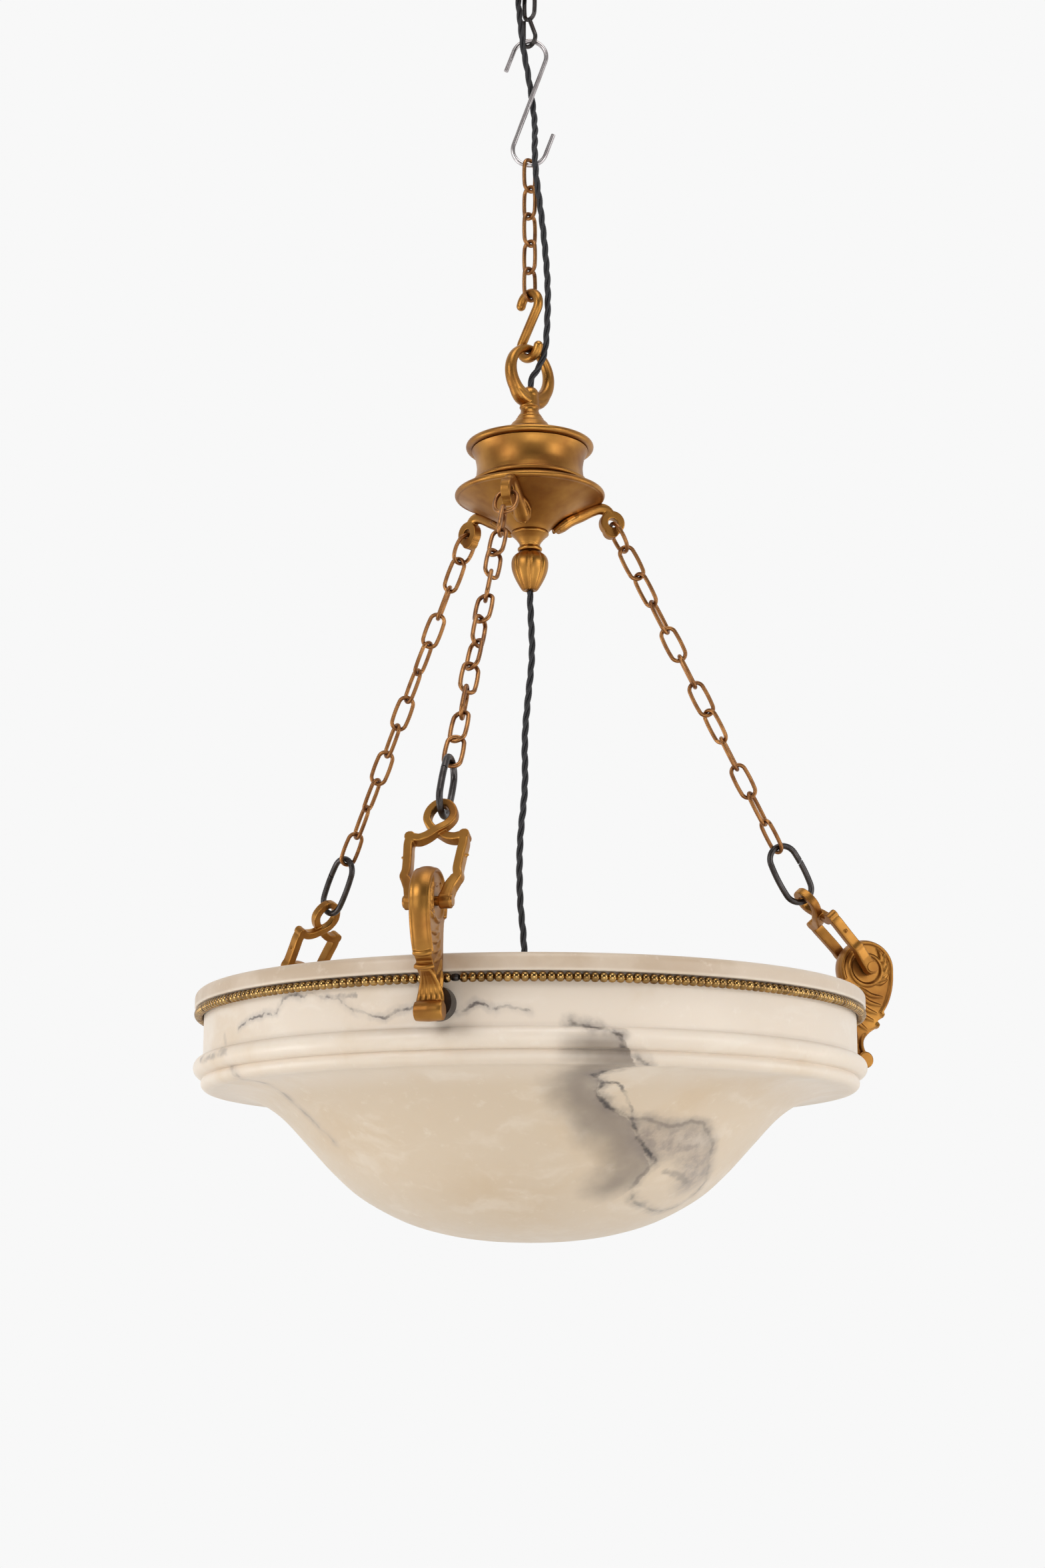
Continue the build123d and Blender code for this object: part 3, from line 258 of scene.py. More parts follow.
# %% Node helpers
def feed(tree, node, inputs):
    """Link each input of a node that is given a socket, and set the others."""
    for key, value in inputs.items():
        if isinstance(value, bpy.types.NodeSocket):
            tree.links.new(value, node.inputs[key])
        else:
            node.inputs[key].default_value = value


def add(tree, kind, inputs=None, **settings):
    """Add a node with its settings and its inputs."""
    made = tree.nodes.new(kind)
    for key, value in settings.items():
        setattr(made, key, value)
    feed(tree, made, inputs or {})
    return made


def maths(tree, operation, *values, **settings):
    """The result of a Math node."""
    return add(tree, "ShaderNodeMath", dict(enumerate(values)), operation=operation, **settings).outputs[0]


def vectors(tree, operation, a, b):
    """The result of a Vector Math node: a number for a product or a distance, or else a vector."""
    second = "Scale" if operation == "SCALE" else 1
    made = add(tree, "ShaderNodeVectorMath", {0: a, second: b}, operation=operation)
    return made.outputs["Value" if operation in ("DOT_PRODUCT", "DISTANCE") else "Vector"]


def ranged(tree, value, low, high, to_low=0.0, to_high=1.0, kind="LINEAR"):
    """A value taken from one range to another."""
    return add(tree, "ShaderNodeMapRange", {"Value": value, "From Min": low, "From Max": high,
                                            "To Min": to_low, "To Max": to_high},
               interpolation_type=kind).outputs["Result"]


def mixed(tree, mask, a, b):
    """Two colours mixed by a mask."""
    return add(tree, "ShaderNodeMix", {"Factor": mask, "A": a, "B": b}, data_type="RGBA").outputs["Result"]


def grains(tree, spot, size_mm, detail, rough=0.5):
    """The outputs of a noise whose grains have a size in millimetres."""
    return add(tree, "ShaderNodeTexNoise", {"Vector": spot, "Scale": 1 / (size_mm * MM), "Detail": detail,
                                            "Roughness": rough}).outputs


def bumped(tree, height, strength, depth_mm):
    """A normal that follows a height."""
    return add(tree, "ShaderNodeBump", {"Height": height, "Strength": strength,
                                        "Distance": depth_mm * MM}).outputs["Normal"]


def linear(code):
    """An sRGB hex colour as linear RGBA."""
    parts = [int(code[i:i + 2], 16) / 255 for i in (1, 3, 5)]
    return [c / 12.92 if c <= 0.04045 else ((c + 0.055) / 1.055) ** 2.4 for c in parts] + [1.0]


def blank(name):
    """A new material: its tree, its Principled shader and its Object coordinates."""
    material = bpy.data.materials.new(name)
    material.use_nodes = True
    tree = material.node_tree
    tree.nodes.clear()
    shader = add(tree, "ShaderNodeBsdfPrincipled")
    add(tree, "ShaderNodeOutputMaterial", {"Surface": shader.outputs["BSDF"]})
    place = add(tree, "ShaderNodeTexCoord").outputs["Object"]
    return material, tree, shader, place


print("mid grey in linear light is", round(linear("#808080")[0], 3))

# %% [markdown]
# ## Metals
# The castings and the gallery are bronze with an old gold lacquer: satin, browner where thin and paler on worn
# edges, with painted shade darkening the hollows. A painted map would fit one shape only. Noise, pointiness and
# ambient occlusion suit any, and other colours give the chain wire, the beads, the dark links and the plated hook.

# %% Metals
HOLLOW_SHADE_REACH = 3.5              # how near, in millimetres, another face stands where painted shade darkens the metal


def metal(name, pale, deep, rough, cloud_mm, grain_mm, wear, grain_depth):
    """A satin metal: clouds of two tones, worn edges, painted shade in the hollows and a fine cast grain."""
    material, tree, shader, place = blank(name)
    cloud = grains(tree, place, cloud_mm, 4.0)["Fac"]
    grain = grains(tree, place, grain_mm, 3.0)["Fac"]
    tone = mixed(tree, ranged(tree, cloud, 0.32, 0.68), linear(deep), linear(pale))
    point = add(tree, "ShaderNodeNewGeometry").outputs["Pointiness"]
    edge = ranged(tree, point, 0.53, 0.66, 0.0, wear)
    worn = mixed(tree, edge, tone, [min(1.0, c * 1.25) for c in linear(pale)])
    # Painted shade: ambient occlusion darkens the metal in its hollows, where other faces stand near.
    shut = add(tree, "ShaderNodeAmbientOcclusion", {"Distance": HOLLOW_SHADE_REACH * MM}, samples=16).outputs["AO"]
    painted_hollow_shade = ranged(tree, shut, 0.7, 0.2, 0.0, 0.6)
    with_painted_shade = mixed(tree, painted_hollow_shade, worn, [c * 0.3 for c in linear(deep)[:3]] + [1.0])
    gloss = ranged(tree, cloud, 0.3, 0.7, rough + 0.07, rough - 0.04)
    feed(tree, shader, {"Metallic": 1.0, "Base Color": with_painted_shade, "Roughness": gloss,
                        "Normal": bumped(tree, grain, 0.1, grain_depth)})
    return material


GILT = metal("gilt_bronze_lacquered", "#AF7D3C", "#8B5C2C", 0.38, 22, 2.0, 0.1, 0.06)
CHAIN = metal("brass_wire_tarnished", "#A87748", "#7F5535", 0.38, 9, 0.9, 0.1, 0.04)
BEAD = metal("antique_brass_beads", "#B59159", "#6B5030", 0.2, 7, 0.8, 0.2, 0.03)
IRON = metal("blackened_iron", "#54504F", "#3A3634", 0.36, 8, 0.9, 0.4, 0.08)
ZINC = metal("zinc_plated_wire", "#C9C4C4", "#9C9494", 0.28, 10, 0.8, 0.3, 0.03)
STEEL = metal("plain_steel", "#B9B9B9", "#9A9A9A", 0.35, 14, 1.0, 0.3, 0.03)
print("metals", [m.name for m in (GILT, CHAIN, BEAD, IRON, ZINC, STEEL)])

# %% [markdown]
# ## Flex, plastic and glass
# The flex is covered in black cloth, and the lamp is a plain holder with a frosted bulb. A colour, a
# roughness and a fine bump are enough. The bulb isn't lit, so its glass can be opaque.

# %% Flex, plastic and glass
def coated(name, colour, rough, grain_mm, depth_mm):
    """A plain coated surface with a fine grain."""
    material, tree, shader, place = blank(name)
    grain = grains(tree, place, grain_mm, 3.0)["Fac"]
    feed(tree, shader, {"Base Color": linear(colour), "Roughness": rough,
                        "Normal": bumped(tree, grain, 0.3, depth_mm)})
    return material


FLEX = coated("black_cloth_flex", "#1C1B1E", 0.55, 0.5, 0.1)
PLASTIC = coated("black_plastic", "#1A1A1A", 0.4, 1.0, 0.03)
GLASS = coated("frosted_glass", "#F4F2EC", 0.5, 1.0, 0.01)
print("coated", [m.name for m in (FLEX, PLASTIC, GLASS)])

# %% [markdown]
# ## Meshes and bars
# A mesh can be made by Blender's operators or from a list of points and faces. Points and faces are used
# here, because every size then stays a number. Bars are rings of points along a path: wires, straps or
# leaves.

# %% Meshes
def outward(name, points, faces, merge=False):
    """A mesh of points in metres, its faces turned outward. Merge joins the points that fall together."""
    data = bpy.data.meshes.new(name)
    data.from_pydata([tuple(p) for p in points], [], faces)
    shape = bmesh.new()
    shape.from_mesh(data)
    if merge:
        bmesh.ops.remove_doubles(shape, verts=shape.verts, dist=1e-7)
        bmesh.ops.delete(shape, geom=[e for e in shape.edges if not e.link_faces], context="EDGES")
    bmesh.ops.recalc_face_normals(shape, faces=shape.faces)
    shape.to_mesh(data)
    shape.free()
    return data


def finished(data, material, smooth=True):
    """The mesh with one material, shaded smooth or flat."""
    data.polygons.foreach_set("use_smooth", [smooth] * len(data.polygons))
    data.materials.clear()
    data.materials.append(material)
    return data


def mesh_object(name, points, faces, material, smooth=True):
    """A mesh object at the origin, its points in metres."""
    return linked(name, finished(outward(name, points, faces, True), material, smooth))


def plain_mesh(shown):
    """The mesh of an object as it shows, with its modifiers in it."""
    bpy.context.view_layer.update()
    return bpy.data.meshes.new_from_object(shown.evaluated_get(bpy.context.evaluated_depsgraph_get()))


def joined(shapes):
    """The points, in metres, and the faces of several shapes in millimetres."""
    points, faces = [], []
    for corners, polygons in shapes:
        faces += [tuple(i + len(points) for i in polygon) for polygon in polygons]
        points += [tuple(c * MM for c in corner) for corner in corners]
    return points, faces


print("meshes are in metres, shapes in millimetres of", MM, "m")

# %% Bars
def sweep(rings, closed=False):
    """A skin over rings of points: a closed loop, or a tube with both ends capped."""
    count, total = len(rings[0]), len(rings)
    points = [tuple(p) for ring in rings for p in ring]
    faces = []
    for i in range(total if closed else total - 1):
        for j in range(count):
            a, b = i * count, (i + 1) % total * count
            faces.append((a + j, a + (j + 1) % count, b + (j + 1) % count, b + j))
    if not closed:
        faces += [tuple(range(count))[::-1], tuple(range((total - 1) * count, total * count))]
    return points, faces


def tapered(values, count):
    """Spread a few sizes evenly over a longer path."""
    places = np.linspace(0, len(values) - 1, count)
    columns = [np.interp(places, range(len(values)), column) for column in zip(*values)]
    return [tuple(row) for row in zip(*columns)]


def rod(path, sizes, side=(0, 1, 0), sides=14, closed=False, square=1.0):
    """A bar along a path in millimetres. A size is (half width, half depth), and the width lies along side.
    Several sizes are spread along the path. Square below 1 makes the section boxy."""
    path = [np.array(p, float) for p in path]
    total = len(path)
    sizes = tapered(sizes, total) if isinstance(sizes, list) else [sizes] * total
    rings = []
    for i, (centre, (wide, deep)) in enumerate(zip(path, sizes)):
        after = (i + 1) % total if closed else min(i + 1, total - 1)
        before = i - 1 if closed else max(i - 1, 0)
        ahead = path[after] - path[before]
        ahead /= np.linalg.norm(ahead)
        across = np.array(side, float)
        across -= ahead * across.dot(ahead)
        across /= np.linalg.norm(across)
        depth = np.cross(ahead, across)
        ring = []
        for t in np.linspace(0, 2 * math.pi, sides, endpoint=False):
            u, v = math.cos(t), math.sin(t)
            u, v = math.copysign(abs(u) ** square, u), math.copysign(abs(v) ** square, v)
            ring.append(centre + across * wide * u + depth * deep * v)
        rings.append(ring)
    return sweep(rings, closed)


print("a short bar has", len(rod([(0, 0, 0), (0, 0, 9)], (1, 1))[0]), "points")

# %% [markdown]
# ## Flex
# The flex leaves the rose, wanders down beside the hooks and the short chain and enters the ring's neck. A
# second length hangs from the finial to the lamp. A simulated cord wouldn't end on the photographed line, so
# a spline follows it and three strands twist round that. The upper flex is cut between one hanging piece and
# the next, so that each length can bend with the two beside it.

# %% Route of the flex
FLEX_WIDE = 4.8           # all three strands together
SHORTEST_CORD = 0.031     # metres: a shorter length goes with the cord after it
STRAND, STRAND_OUT = 1.12, 1.28    # a strand's radius, and its place from the middle
TWIST_PITCH = 36.0        # one full turn of the strands
ASIDE = (0.96, 0.28, 0)   # a direction that the flex never takes
BALL_UP = 17.5            # from the foot of the ring's neck to the middle of its ball
ball = span("hanging_loop")[0] / MM + BALL_UP
finial_low = span("finial")[0] / MM
lamp_top = span("lamp_cap")[1] / MM
UPPER_ROUTE = [(-9, 0, -13), (-9, 0, -31), (-7.8, 3, -50), (-6.2, 6.2, -68), (-4.6, 6.4, -84), (-1.6, 1, -98),
               (1, -5.4, -112), (3, -6, -127), (4.2, -1.6, -144), (3.6, 6.4, -162), (4.4, 9.4, -184),
               (8.2, 8.2, -212), (11.6, 3.8, -243), (13.4, 2.6, -272), (12.6, 1, -298), (11.2, -0.6, -318),
               (6.2, 0, -330), (0, 0, -339), (0, 0, ball - 1)]
LOWER_ROUTE = [(0, 0, 0), (0.6, 0.4, -20), (2, 0.8, -46), (-1.4, -0.4, -78), (-4, 0.6, -108),
               (-3, -0.4, -142), (-7.4, 0.4, -180), (-7.2, -0.4, -222)]
LAMP_AXIS = (-4.0, 0.0)   # of the lamp, in the model's own x and y


def route_line(name, points):
    """The smooth line of a route: the points of a NURBS spline that has the route as its control points."""
    curve = bpy.data.curves.new(name, "CURVE")
    curve.dimensions = "3D"
    curve.resolution_u = 24
    spline = curve.splines.new("NURBS")
    spline.points.add(len(points) - 1)
    for point, place in zip(spline.points, points):
        point.co = (*place, 1.0)
    spline.order_u = 3
    spline.use_endpoint_u = True
    holder = linked(name, curve)
    made = [v.co.copy() for v in plain_mesh(holder).vertices]
    bpy.data.objects.remove(holder)
    return made


def run(line):
    """The length of a line."""
    return sum((b - a).length for a, b in zip(line, line[1:]))


upper_line = route_line("upper_route", [viewed(*p) for p in UPPER_ROUTE])
lower_points = [viewed(r, n, finial_low + z) for r, n, z in LOWER_ROUTE]
lower_points += [Vector((*LAMP_AXIS, z)) * MM for z in (lamp_top + 14, lamp_top - 8)]
lower_line = route_line("lower_route", lower_points)
print("routes of", round(run(upper_line), 4), "and", round(run(lower_line), 4), "m")

# %% Upper flex
def twisted(name, line, start):
    """Three strands twisted round a line. Start is the length along the whole flex where this line begins."""
    strands = []
    for phase in (0.0, 2 * math.pi / 3, 4 * math.pi / 3):
        along, path = start, []
        for i, point in enumerate(line):
            if i:
                along += (point - line[i - 1]).length
            ahead = (line[min(i + 1, len(line) - 1)] - line[max(i - 1, 0)]).normalized()
            across = ahead.cross(Vector(ASIDE)).normalized()
            turn_by = 2 * math.pi * along / (TWIST_PITCH * MM) + phase
            aside = across * math.cos(turn_by) + ahead.cross(across) * math.sin(turn_by)
            path.append(point / MM + STRAND_OUT * aside)
        strands.append(rod(path, (STRAND, STRAND), ASIDE, 10))
    made = mesh_object(name, *joined(strands), FLEX)
    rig.slot(made, "black_flex")
    return made


cuts = [("ceiling", "hook", -58), ("hook", "s_hook", -124), ("s_hook", "link_1", -182),
        ("link_1", "link_2", -203), ("link_2", "link_3", -224), ("link_3", "link_4", -245),
        ("link_4", "link_5", -266), ("link_5", "cast", -298), ("cast", "gallery", -400)]
first, length_so_far, cords, short = 0, 0.0, [], []
for above, below, cut in cuts:
    last = first
    while last + 1 < len(upper_line) and upper_line[last].z > cut * MM:
        last += 1
    line = upper_line[first:last + 1]
    piece = twisted(f"flex_{below}", line, length_so_far)
    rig.blend(piece, above, below, start=line[0], end=line[-1])
    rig.replaces(piece, "flex_upper")
    long = run(line)
    if long >= SHORTEST_CORD:
        cords.append((piece, line, long, short))
        short = []
    else:
        short.append(piece)
    length_so_far += long
    first = last
for piece, line, long, pieces in cords:
    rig.cord(piece, exit=line[0], length=long, diameter=FLEX_WIDE * MM, far_end="object", stiffness="medium",
            lay="hanging", path=line, with_pieces=pieces)
print("upper flex", round(length_so_far, 4), "m in", len(cuts), "lengths")

# %% Lower flex
FLEX_BEND = 0.04          # metres under the finial in which the flex takes up the lamp's swing
lower_flex = twisted("flex_to_lamp", lower_line, 0.0)
lower_long = run(lower_line)
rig.blend(lower_flex, "gallery", "lamp", start=lower_line[0], end=lower_line[0] - Vector((0, 0, FLEX_BEND)))
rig.replaces(lower_flex, "flex_lower")
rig.cord(lower_flex, exit=lower_line[0], length=lower_long, diameter=FLEX_WIDE * MM, far_end="object",
        stiffness="medium", lay="hanging", path=lower_line)
print("lower flex", round(lower_long, 4), "m")

# %% [markdown]
# ## Bowl
# The bowl was turned and hollowed from one block: a rim, a plain band, two rolls and a deep ogee. It could be
# sculpted, but a turned shape is known by its outline alone, so that is drawn, from the bead line, and
# turned.

# %% Bowl outline
def through(points, steps):
    """A smooth curve through points of any dimension."""
    points = [np.array(p, float) for p in points]
    count = len(points)
    made = []
    for i in range(count - 1):
        b, c = points[i], points[i + 1]
        a = points[i - 1] if i > 0 else 2 * b - c
        d = points[i + 2] if i + 2 < count else 2 * c - b
        for t in np.linspace(0, 1, steps, endpoint=False):
            made.append(b + 0.5 * t * (c - a + t * (2 * a - 5 * b + 4 * c - d + t * (3 * (b - c) + d - a))))
    return made + [points[-1]]


def arc(centre, radius, start, end, steps=12):
    """Points of an arc in a plane, by its angles in degrees."""
    return [np.array((centre[0] + radius * math.cos(t), centre[1] + radius * math.sin(t)))
            for t in np.radians(np.linspace(start, end, steps))]


WALL, RIM, INSIDE = 221.0, 227.3, 209.0    # radii
outline = [(INSIDE, 15.0), (INSIDE + 1, 15.0), (215.0, 15.0)]
outline += arc((RIM - 5, 10.0), 5.0, 90, 0)
outline += [(RIM, 4.6)] + arc((RIM - 1.1, 4.6), 1.1, 0, -90, 5)
outline += [(WALL + 1.2, 3.5)] + arc((WALL + 1.2, 2.3), 1.2, 90, 180, 5)
outline += [(WALL, 0.0), (WALL, -13.0), (WALL, -26.0), (WALL, -28.9), (WALL + 0.5, -29.5)]
outline += arc((WALL, -36.0), 6.5, 84, -84, 22)
outline += [(WALL - 0.4, -42.7), (WALL + 0.1, -43.1)]
outline += through([(WALL + 0.5, -43.8), (WALL + 1.2, -46.2), (WALL + 0.4, -48.8), (WALL - 2.2, -50.8),
                    (WALL - 6, -51.6)], 5)[1:]
outline += through([(WALL - 6, -51.5), (205, -51.5), (196, -52.9), (187, -55.7), (179, -59.5),
                    (171, -64.9), (163, -72), (150, -86), (131, -106.1), (112, -122), (84, -136.7),
                    (56, -145), (28, -149.1), (0, -150.4)], 6)[1:]
outside_count = len(outline)
outline += through([(0, -137.4), (52, -132), (105, -112), (149.5, -68.5), (176, -48), (200, -39.5),
                    (208, -32)], 10)
outline += [(INSIDE, -28.0), (INSIDE, -10.0)]
outside = [np.array(p) for p in outline[2:outside_count]]


def on_bowl(angle, down):
    """The bowl's outside at an angle from the front bracket and a distance down from the rim's top."""
    for a, b in zip(outside, outside[1:]):
        step = float(np.linalg.norm(b - a))
        if down <= step:
            break
        down -= step
    radius, height = a + (b - a) * min(1.0, down / step)
    turned = math.radians(angle - 90)
    return Vector((radius * math.cos(turned) * MM, radius * math.sin(turned) * MM, height * MM + bead_line))


print("bowl outline", len(outline), "points")

# %% [markdown]
# ## Alabaster
# The stone is cream with slow clouds, tan below, and lets a little light in. Cracks and veins cross its
# front. An image could carry them, but would fix them in pixels. Here each is a chain of points on the
# outside, by angle from the front bracket and distance down from the rim's top, and the shader measures how
# far the surface is from each stretch, after a noise has pushed it about. The stone is grey on one side of
# the main crack only: where SHADOW is nearer than BRIGHT.

# %% Lines of the veins
CRACK = [(20.6, 58.8), (24.5, 63.5), (27.9, 69), (27.7, 74.4), (31.3, 84.7), (33, 93), (30.8, 103.5),
         (28.8, 112.1), (26, 121), (28.3, 131.2), (27.7, 138.1), (28.5, 143.5), (31.6, 152), (38.1, 162.5),
         (39.7, 168.3), (42.7, 178.4), (45.3, 185.3), (50.4, 193.9)]
ISLAND = [(28.3, 130), (31.2, 129.9), (34.2, 141.2), (37.2, 154.9), (38.3, 162)]
EDGE = [(38.3, 162), (41.8, 160.4), (45.5, 164.3), (49.5, 165.5), (54.3, 162.2), (59, 163.1), (63.8, 170.3),
        (67.3, 176.9), (70.8, 189.4), (77, 200.2), (81.3, 208.1), (84.4, 221.7), (84.9, 234.1), (78, 243),
        (62, 238.5), (53.2, 230.8), (47.4, 218.8), (48.1, 207.9), (50.4, 193.9)]
PATCH = [(44.4, 173), (52.1, 177.4), (58.8, 176.4), (65.4, 192.1), (72, 206)]
BRANCH = [(56.6, 202), (62.3, 204.3), (69.8, 209.7)]
BAND = [(-42.7, 50.3), (-40.4, 46.6), (-36.9, 43.8), (-31.3, 44), (-29.9, 35.5), (-27.5, 33.9), (-25, 35.2),
        (-24.1, 32.9), (-22.1, 36.5), (-18, 39.6), (-14, 48.6), (-9.4, 52.4), (-7.1, 48.8), (-2.7, 47),
        (2, 51), (4.1, 49.2), (5.8, 46), (8.8, 50.1), (11.3, 48.6), (14.1, 50.3)]
TWIG = [(-20.3, 37.8), (-16.3, 37.5), (-14.5, 37.7)]
ROLL = [(-56.7, 69.1), (-48.9, 69.3), (-44.1, 68.8), (-46.5, 65.3), (-47.5, 60.5), (-48.7, 52.3)]
LEFT = [(-45.2, 80.8), (-42.8, 88.2), (-45, 106.3), (-46.9, 130), (-48.4, 142.6), (-47.4, 154.4),
        (-45.2, 172.5)]
SHADOW = [(24.4, 71), (24.2, 76), (28, 86), (27, 96), (26.2, 104.9), (23.5, 124), (24.7, 140.2), (29, 157.3),
          (35, 170.4), (40, 185.7), (44, 200.2), (41.6, 210.5)]
BRIGHT = [(31.2, 67), (31.4, 74), (34.8, 83), (38, 93), (34, 109.8), (30.2, 122), (30.9, 137.8),
          (34.4, 148.3), (40.1, 156.3), (44.1, 171.3), (49, 183.1), (60.7, 200.5), (56.4, 209.1), (55, 220.4)]
print("the main crack starts at", [round(c, 3) for c in on_bowl(*CRACK[0])])

# %% Distance to a vein
WAIT = 1e-9               # so small a share of the value before only makes a stretch wait for it
segment = bpy.data.node_groups.new("distance to a stretch of vein", "ShaderNodeTree")
for socket in ("Place", "From", "To"):
    segment.interface.new_socket(socket, in_out="INPUT", socket_type="NodeSocketVector")
segment.interface.new_socket("Least", in_out="INPUT", socket_type="NodeSocketFloat")
segment.interface.new_socket("Least", in_out="OUTPUT", socket_type="NodeSocketFloat")
given = add(segment, "NodeGroupInput").outputs
after = maths(segment, "MULTIPLY", given["Least"], WAIT)
start = vectors(segment, "ADD", given["From"], after)
reach = vectors(segment, "SUBTRACT", given["Place"], start)
whole = vectors(segment, "SUBTRACT", given["To"], start)
top = vectors(segment, "DOT_PRODUCT", reach, whole)
low = vectors(segment, "DOT_PRODUCT", whole, whole)
share = maths(segment, "DIVIDE", top, low, use_clamp=True)
off = vectors(segment, "DISTANCE", reach, vectors(segment, "SCALE", whole, share))
least = maths(segment, "MINIMUM", given["Least"], off)
add(segment, "NodeGroupOutput", {"Least": least})
ALABASTER, tree, shader, place = blank("alabaster")


def vein_distance(points, spot, before=0.0):
    """The least distance from the surface to a vein. Each stretch waits for the one before it, and the vein
    for the one named, so that the shader never holds many numbers at once."""
    least = maths(tree, "MULTIPLY_ADD", before, WAIT, 1.0)
    spots = [on_bowl(*point) for point in points]
    for a, b in zip(spots, spots[1:]):
        near = add(tree, "ShaderNodeGroup", node_tree=segment,
                   inputs={"Least": least, "Place": spot, "From": a, "To": b})
        least = near.outputs["Least"]
    return least


print("a stretch of vein takes", len(segment.nodes), "nodes")

# %% Tones of the stone
def noise(spot, size_mm, detail=4.0, rough=0.55):
    """A noise in the stone, with grains of a size in millimetres: its node's outputs."""
    return grains(tree, spot, size_mm, detail, rough)


def pushed(spot, size_mm, reach_mm):
    """The place moved about by a noise."""
    shift = vectors(tree, "SUBTRACT", noise(spot, size_mm)["Color"], (0.5, 0.5, 0.5))
    return vectors(tree, "ADD", spot, vectors(tree, "SCALE", shift, reach_mm * MM))


def ramp(value, low, high, to_low=0.0, to_high=1.0):
    """A smooth step of a value."""
    return ranged(tree, value, low, high, to_low, to_high, "SMOOTHSTEP")


def times(a, b):
    """The product of two masks."""
    return maths(tree, "MULTIPLY", a, b)


def tint(stone, mask, colour):
    """The stone with a colour mixed in by a mask."""
    return mixed(tree, mask, stone, linear(colour))


jagged = pushed(pushed(place, 14, 7), 3.5, 2.6)
cloudy = pushed(place, 40, 30)
cloud, fleck = noise(cloudy, 90, 5.0)["Fac"], noise(place, 9, 5.0, 0.65)["Fac"]
streak = add(tree, "ShaderNodeMapping", {"Vector": cloudy, "Scale": (1.0, 1.0, 3.5)}).outputs[0]
level = add(tree, "ShaderNodeSeparateXYZ", {0: place}).outputs["Z"]
stone = tint(linear("#E8DBCB"), ramp(level, bead_line - 0.046, bead_line - 0.062), "#DDCCB5")
stone = tint(stone, ramp(cloud, 0.46, 0.70, 0.0, 0.5), "#D6BE9D")
stone = tint(stone, ramp(noise(streak, 45, 4.0)["Fac"], 0.50, 0.74, 0.0, 0.35), "#F3EADD")
stone = tint(stone, times(ramp(level, bead_line + 0.003, bead_line + 0.006), ramp(cloud, 0.4, 0.6, 0.6, 1.0)),
             "#C3AE96")
stone = tint(stone, ramp(fleck, 0.57, 0.76, 0.0, 0.3), "#F6EFE4")
print("tones of the stone take", len(tree.nodes), "nodes")

# %% Veins in the stone
broken = ramp(noise(place, 17, 3.0)["Fac"], 0.36, 0.60, 0.25)
dark_side = vein_distance(SHADOW, cloudy)
dark_edge = vein_distance(SHADOW, jagged, dark_side)
latest = vein_distance(BRIGHT, jagged, dark_edge)
side = maths(tree, "SUBTRACT", latest, dark_edge)
shaded = times(ramp(dark_side, 0.031, 0.0, 0.0, 0.9), ramp(side, -0.0008, 0.0014))
stone = tint(stone, times(shaded, ramp(level, bead_line - 0.030, bead_line - 0.040)), "#8F8275")
latest = vein_distance(PATCH, jagged, latest)
mottled = times(ramp(latest, 0.024, 0.003, 0.0, 0.85), ramp(fleck, 0.34, 0.62, 1.0, 0.55))
stone = tint(stone, mottled, "#998C83")
veins = (       # each with its lines, from wide and faint to narrow: width in millimetres, strength, colour
    (CRACK, (9.0, 0.65, "#857A72"), (2.6, 0.95, "#443C39")), (ISLAND, (2.2, 0.8, "#5C5350")),
    (EDGE, (8.0, 0.42, "#93897F"), (2.6, 0.45, "#645B56")), (BRANCH, (4.5, 0.5, "#776E69")),
    (BAND, (5.0, 0.42, "#A59C96"), (1.5, 0.85, "#5C5351")), (TWIG, (2.4, 0.6, "#7F7672")),
    (ROLL, (3.2, 0.6, "#8A807A")), (LEFT, (9.0, 0.4, "#B3A69D"), (3.0, 0.5, "#92887F")))
for points, *lines in veins:
    latest = vein_distance(points, jagged, latest)
    for wide, strong, colour in lines:
        line = ramp(latest, wide * MM, 0.15 * wide * MM, 0.0, strong)
        stone = tint(stone, times(line, broken), colour)
feed(tree, shader, {"Base Color": stone, "Roughness": ramp(fleck, 0.3, 0.7, 0.34, 0.46),
                    "Subsurface Weight": 0.15, "Subsurface Radius": (1.0, 0.8, 0.6),
                    "Subsurface Scale": 0.008})
print("with the veins it takes", len(tree.nodes), "nodes")

# %% Bowl
def lathe(name, outline, material, base, sides, ripple=None):
    """Turn a closed outline of (radius, height) in millimetres about the axis. Ripple changes the radius."""
    rings = []
    for k in range(sides):
        angle = 2 * math.pi * k / sides
        ring = []
        for radius, height in outline:
            wide = radius * (ripple(angle, radius) if ripple else 1.0)
            ring.append((wide * math.cos(angle) * MM, wide * math.sin(angle) * MM, height * MM + base))
        rings.append(ring)
    return mesh_object(name, *sweep(rings, closed=True), material)


def stands_for(piece, node, body, slot="gilt_bronze"):
    """Say which CAD node a piece stands for, the body it rides on and its material slot."""
    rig.replaces(piece, node)
    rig.ride(piece, body)
    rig.slot(piece, slot)


bowl = lathe("alabaster_bowl", outline, ALABASTER, bead_line, 360)
stands_for(bowl, "bowl", "bowl", "alabaster")
print("bowl", len(bowl.data.polygons), "faces")

# %% [markdown]
# ## Finishes of the CAD pieces
# Links, hooks, pins, screws, the rose and the lamp are plain bars and turned shapes. They could be built
# again here, but their CAD shape is already what shows, so they keep it and take the finish of what they are.

# %% Finishes of the CAD pieces
finishes = {"alabaster": ALABASTER, "gilt_bronze": GILT, "chain_brass": CHAIN, "bead_brass": BEAD,
            "dark_iron": IRON, "zinc_wire": ZINC, "plain_steel": STEEL, "black_flex": FLEX,
            "black_plastic": PLASTIC, "bulb_metal": STEEL, "bulb_glass": GLASS}
for subpart in frame["record"]["subparts"]:
    shown = bpy.data.objects[subpart["node"]]
    shown.data.materials.clear()
    shown.data.materials.append(finishes[subpart["material_slot"]])
print("finishes on", len(frame["record"]["subparts"]), "nodes")

